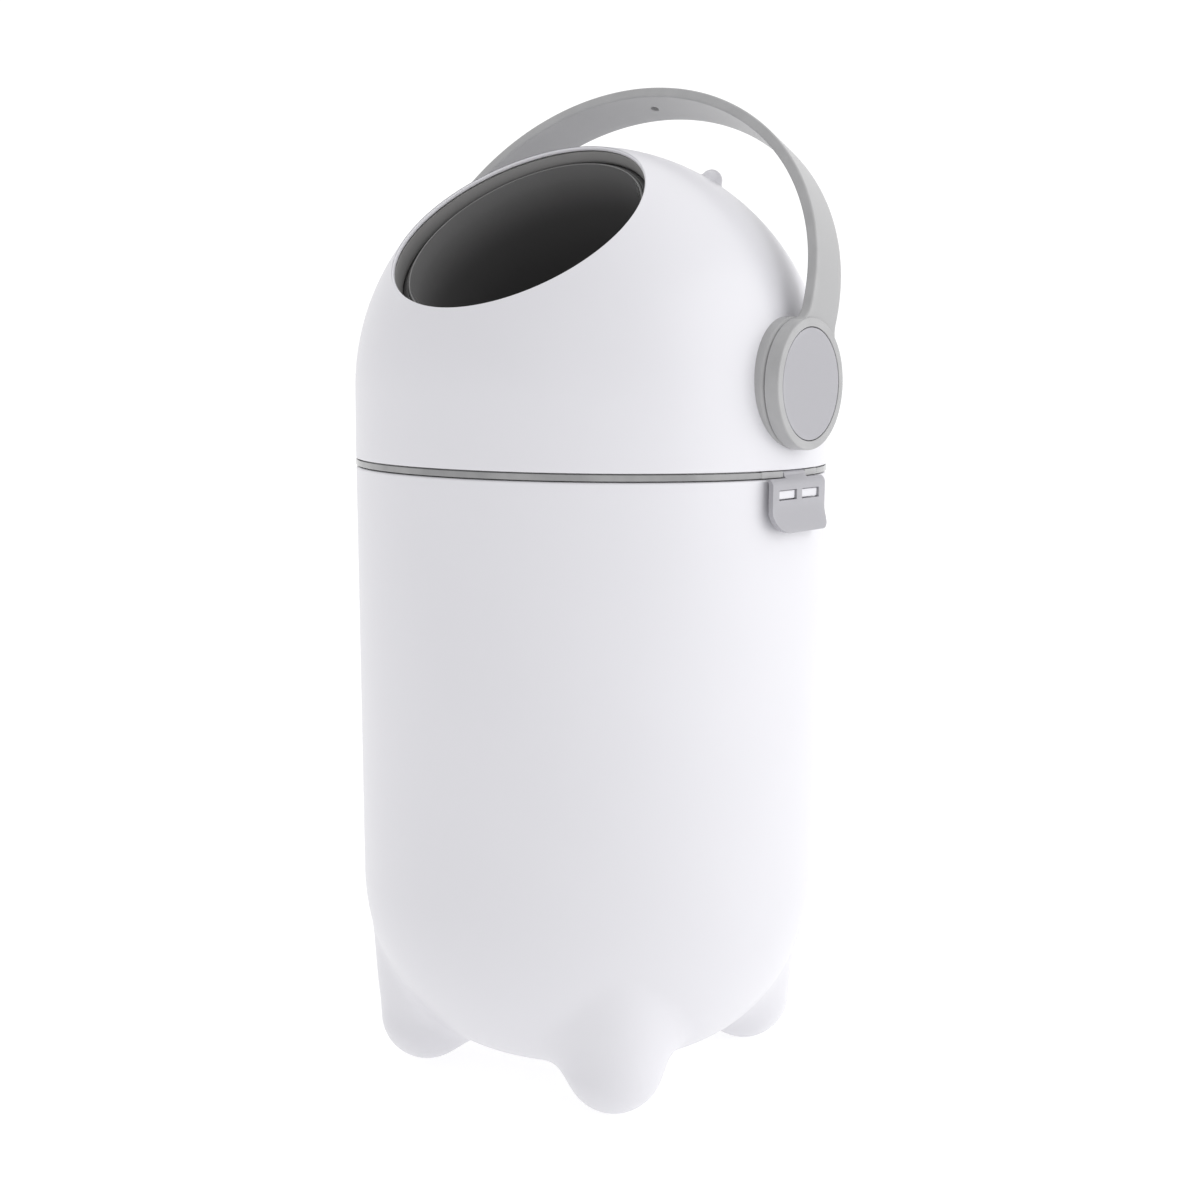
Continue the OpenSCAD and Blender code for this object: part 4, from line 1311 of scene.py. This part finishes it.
@dataclass
class Handle:
    """Flat bail handle whose arms flow into two round hubs with set-in caps."""

    half_w: float = 15.5
    thick: float = 6.3
    lean: float = 20.5
    arm_h: float = 42.5
    arch_h: float = 139.0
    arm_x: float = 148.3
    arm_end_r: float = 33.0
    feet: tuple[float, ...] = (27.5, 29.0, 29.9, 30.6, 31.4, 32.4, 33.6, 35.0, 36.6, 38.4, 40.5, 41.5)
    across: tuple[float, ...] = (10.0, 6.5, 5.0, 3.75, 2.5, 1.25)
    hub_r: float = 36.5
    hub_x: float = 149.5
    back_x: float = 140.8
    bore_r: float = 2.8
    recess_x: float = 146.4
    recess_r: float = 31.5
    cap_r: float = 31.05
    cap_edge_x: float = 149.32
    cap_crown: float = 0.26
    fillet: float = 13.0
    corner: float = 1.3
    dimple_r: float = 2.6
    dimple_deep: float = 3.0

    def section(self) -> list[Vector]:
        """Gives the band's section: distance in from the outer face, and distance from its middle."""
        w, t, r = self.half_w, self.thick, self.corner
        flat = (*self.across, 0.0, *(-y for y in reversed(self.across)))
        outline = rounded([(0, w, r), (0, -w, r), (t, -w, r), (t, w, r)], closed=True, steps=5)
        turned = 6
        points = outline[:turned] + [Vector((0, y)) for y in flat] + outline[turned:3 * turned]
        return points + [Vector((t, -y)) for y in flat] + outline[3 * turned:]

    def half_width(self, z: float) -> float:
        """Half the arm's width at a height above the axle, wider where it flows into the hub."""
        side = self.half_w + self.fillet
        top = math.sqrt((self.hub_r + self.fillet) ** 2 - side ** 2)
        if z >= top:
            return self.half_w
        drop = min(top - z, self.fillet * 0.98)
        widest = side * self.hub_r / (self.hub_r + self.fillet)
        return min(side - math.sqrt(self.fillet ** 2 - drop ** 2), widest)

    def foot_point(self, row: int, sign: int, inset: float, across: float) -> Vector:
        """A point of an arm's foot, which widens towards its hub.

        Args:
            row: Number of the section, from the hub up.
            sign: Side of the arm.
            inset: Distance in from the arm's outer face.
            across: Distance from the band's middle on the plain band.

        Returns:
            The point, with the axle at height 0.
        """
        half, flat = self.half_width(self.feet[row]), self.half_w - self.corner
        if abs(across) > flat:
            y = math.copysign(half - (self.half_w - abs(across)), across)
        else:
            y = across * (half - self.corner) / flat
        inside = math.sqrt(max(self.arm_end_r ** 2 - y * y, 0)) + 0.25 * row
        return Vector((sign * (self.arm_x - inset), y, max(self.feet[row], inside)))

    def band(self, bm: BMesh) -> None:
        """Lofts the band from hub to hub over the arch, with finer steps at its crown."""
        section = self.section()
        turns = sorted({1.5 * k for k in range(121)} | {86.0 + 0.5 * k for k in range(17)})
        feet = len(self.feet)
        count = feet * 2 + len(turns)

        def put(i: int, j: int) -> Vector:
            """Where a point of the section goes at one station."""
            inset, across = section[j]
            if i < feet:
                return self.foot_point(i, 1, inset, across)
            if i >= count - feet:
                return self.foot_point(count - 1 - i, -1, inset, across)
            angle = math.radians(turns[i - feet])
            return Vector(((self.arm_x - inset) * math.cos(angle), across,
                           self.arm_h + (self.arch_h - inset) * math.sin(angle)))

        loft(bm, count, len(section), put)

    def dimple(self, bm: BMesh) -> None:
        """Sinks a small round dimple into the underside of the arch's crown."""
        under, r, near = self.arm_h + self.arch_h - self.thick, self.dimple_r, 0.4
        loop = punch(bm, lambda co: under - 2 < co.z < under + near and math.hypot(co.x, co.y) < r + 0.6,
                     lambda co: abs(co.z - under) < near)
        rings = ((r + 0.35, 0.0), (r + 0.1, 0.06), (r, 0.3), (r, 2.2), (r - 0.6, 2.9),
                 (0.6, self.dimple_deep))
        loop = grow_rings(bm, loop, [(radius, under + up) for radius, up in rings])
        close_top(bm, loop, (0, 0, under + self.dimple_deep))

    def make(self, shop: Workshop) -> None:
        """Builds the handle with its hubs, and both caps."""
        bm = bmesh.new()
        self.band(bm)
        self.dimple(bm)
        hub = rounded([(self.bore_r, self.back_x, 0.2), (self.hub_r, self.back_x, 0.35),
                       (self.hub_r, self.hub_x, 0.9), (self.recess_r, self.hub_x, 0.4),
                       (self.recess_r, self.recess_x), (self.bore_r, self.recess_x, 0.2)],
                      closed=True, steps=5)
        for side in (-1, 1):
            turn(bm, hub, along_x(side, 0.0), 128)
        bmesh.ops.transform(bm, matrix=tilted(AXLE_Z, -self.lean), verts=bm.verts)
        shop.finish(bm, "carry_handle", Look.LIGHT_TRIM, "drum", "handle")
        inward = [1 - k / 8 for k in range(9)]
        face = [(self.cap_r * s, self.cap_edge_x + self.cap_crown * (1 - s ** 2)) for s in inward]
        foot = self.recess_x + 0.02
        outline = [Vector((0, foot)), Vector((self.cap_r, foot))]
        outline += rounded([(self.cap_r, self.recess_x), (*face[0], 0.45), face[1]],
                           closed=False, steps=4)[1:-1]
        outline += [Vector(p) for p in face[1:]]
        for side, name in SIDES:
            cap = bmesh.new()
            turn(cap, outline, along_x(side, AXLE_Z), 128, closed=False)
            shop.finish(cap, f"hub_cover_{name}", Look.CAP_TRIM, "drum", f"hub_cap_{name}")


# ---------------------------------------------------------------- studio


@dataclass
class Studio:
    """Plain pale floor, soft lights and the camera."""

    place: tuple[float, float, float] = (0.6360, -0.8636, 0.4304)
    heading: float = 32.859
    down: float = 7.8447
    roll: float = 0.8979
    lens: float = 53.32
    shift_x: float = -0.08333
    floor_r: float = 30.0
    floor_low: float = 0.49
    floor_high: float = 0.51
    floor_glow: float = 0.66
    sky_way: tuple[float, float, float] = (-0.25, 0.968, 0.0)
    sky_low: float = 0.68
    sky_high: float = 1.18
    sky_seen: float = 1.1
    aim_z: float = 0.3

    def camera(self) -> None:
        """Sets the camera at its viewing angle."""
        data = bpy.data.cameras.new("view")
        data.sensor_width = 36.0
        data.lens = self.lens
        data.shift_x = self.shift_x
        data.clip_end = 50.0
        camera = bpy.data.objects.new("view", data)
        a, p, r = (math.radians(x) for x in (self.heading, self.down, self.roll))
        level = Vector((-math.sin(a), math.cos(a), 0))
        right = Vector((math.cos(a), math.sin(a), 0))
        ahead = level * math.cos(p) - Vector((0, 0, math.sin(p)))
        up = level * math.sin(p) + Vector((0, 0, math.cos(p)))
        x_axis = right * math.cos(r) + up * math.sin(r)
        y_axis = up * math.cos(r) - right * math.sin(r)
        axes = Matrix((x_axis, y_axis, -ahead))
        camera.matrix_world = Matrix.Translation(self.place) @ axes.transposed().to_4x4()
        bpy.context.scene.collection.objects.link(camera)
        bpy.context.scene.camera = camera

    def lamp(self, name: str, at: tuple[float, float, float], size: float, watts: float) -> None:
        """Adds a square soft light that faces the bin's middle.

        Args:
            name: The light's name.
            at: Its place in metres.
            size: Its side in metres.
            watts: Its power.
        """
        data = bpy.data.lights.new(name, "AREA")
        data.shape = "SQUARE"
        data.size = size
        data.energy = watts
        lamp = bpy.data.objects.new(name, data)
        lamp.location = at
        lamp.rotation_euler = (Vector((0, 0, self.aim_z)) - Vector(at)).to_track_quat("-Z", "Y").to_euler()
        bpy.context.scene.collection.objects.link(lamp)

    def floor(self) -> None:
        """Adds the pale floor."""
        bm = bmesh.new()
        bmesh.ops.create_circle(bm, cap_ends=True, radius=self.floor_r, segments=96)
        data = bpy.data.meshes.new("floor")
        bm.to_mesh(data)
        bm.free()
        made = bpy.data.materials.new("pale_floor")
        made.use_nodes = True
        graph = Graph(made.node_tree)
        where = graph.add("TexCoord", {}).outputs["Object"]
        cloud = graph.add("TexNoise", {"Vector": where, "Scale": 3.0}).outputs["Fac"]
        tone = graph.blend(cloud, (self.floor_low,) * 3, (self.floor_high,) * 3)
        graph.feed(made.node_tree.nodes["Principled BSDF"], {
            "Base Color": tone, "Roughness": 0.9, "Specular IOR Level": 0.1,
            "Emission Color": (1.0, 1.0, 1.0, 1.0), "Emission Strength": self.floor_glow})
        data.materials.append(made)
        floor = bpy.data.objects.new("floor", data)
        bpy.context.scene.collection.objects.link(floor)

    def sky(self) -> None:
        """Adds the white surround, which dims smoothly towards the viewer."""
        world = bpy.data.worlds.new("studio")
        world.use_nodes = True
        graph = Graph(world.node_tree)
        where = graph.add("TexCoord", {}).outputs["Generated"]
        along = graph.add("VectorMath", {0: where, 1: self.sky_way}, operation="DOT_PRODUCT").outputs["Value"]
        spread = graph.add("MapRange", {"Value": along, "From Min": -1.0, "To Min": self.sky_low,
                                        "To Max": self.sky_high}).outputs["Result"]
        seen = graph.add("LightPath", {}).outputs["Is Camera Ray"]
        choice = graph.add("Mix", {"Factor": seen, "A": spread, "B": self.sky_seen}).outputs["Result"]
        graph.feed(world.node_tree.nodes["Background"], {"Strength": choice, "Color": (1.0, 1.0, 1.0, 1.0)})
        bpy.context.scene.world = world

    def make(self) -> None:
        """Builds the studio."""
        self.camera()
        self.floor()
        self.sky()
        self.lamp("key_light", (2.9, 1.0, 1.3), 3.4, 44.0)
        self.lamp("top_light", (0.0, 0.4, 3.2), 3.0, 10.0)
        bpy.context.scene.view_settings.view_transform = "Standard"


def dress_hidden(shop: Workshop, nodes: dict[str, bpy.types.Object]) -> None:
    """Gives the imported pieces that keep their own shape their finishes."""
    shop.dress(nodes, ["head_floor"], Look.LIGHT_TRIM)
    shop.dress(nodes, ["throat_seal"], Look.SOFT_RUBBER)
    shop.dress(nodes, ["bush_right", "bush_left"], Look.PALE_BEARING)
    shop.dress(nodes, ["drum_end_right", "drum_end_left"], Look.DARK_DRUM)
    shop.dress(nodes, ["axle_right", "axle_left", "head_screws", "drum_screws", "hub_screws", "latch_pins"],
               Look.TURNED_STEEL)


def main() -> None:
    """Loads the frame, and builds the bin's pieces in order and the studio."""
    logging.basicConfig(level=logging.INFO, format="%(relativeCreated)6d ms %(name)s: %(message)s")
    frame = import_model()
    shop = Workshop()
    dome = Dome()
    Bucket().make(shop)
    BagRing().make(shop)
    dome.make(shop)
    SeamBand().make(shop)
    MouthSeal().make(shop, dome)
    HubCollar().make(shop, dome)
    Latch().make(shop)
    Drum().make(shop)
    Handle().make(shop)
    dress_hidden(shop, frame["nodes"])
    Studio().make()
    bpy.context.view_layer.update()
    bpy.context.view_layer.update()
    LOG.info("%d pieces made", shop.pieces)


if __name__ == "__main__":
    main()
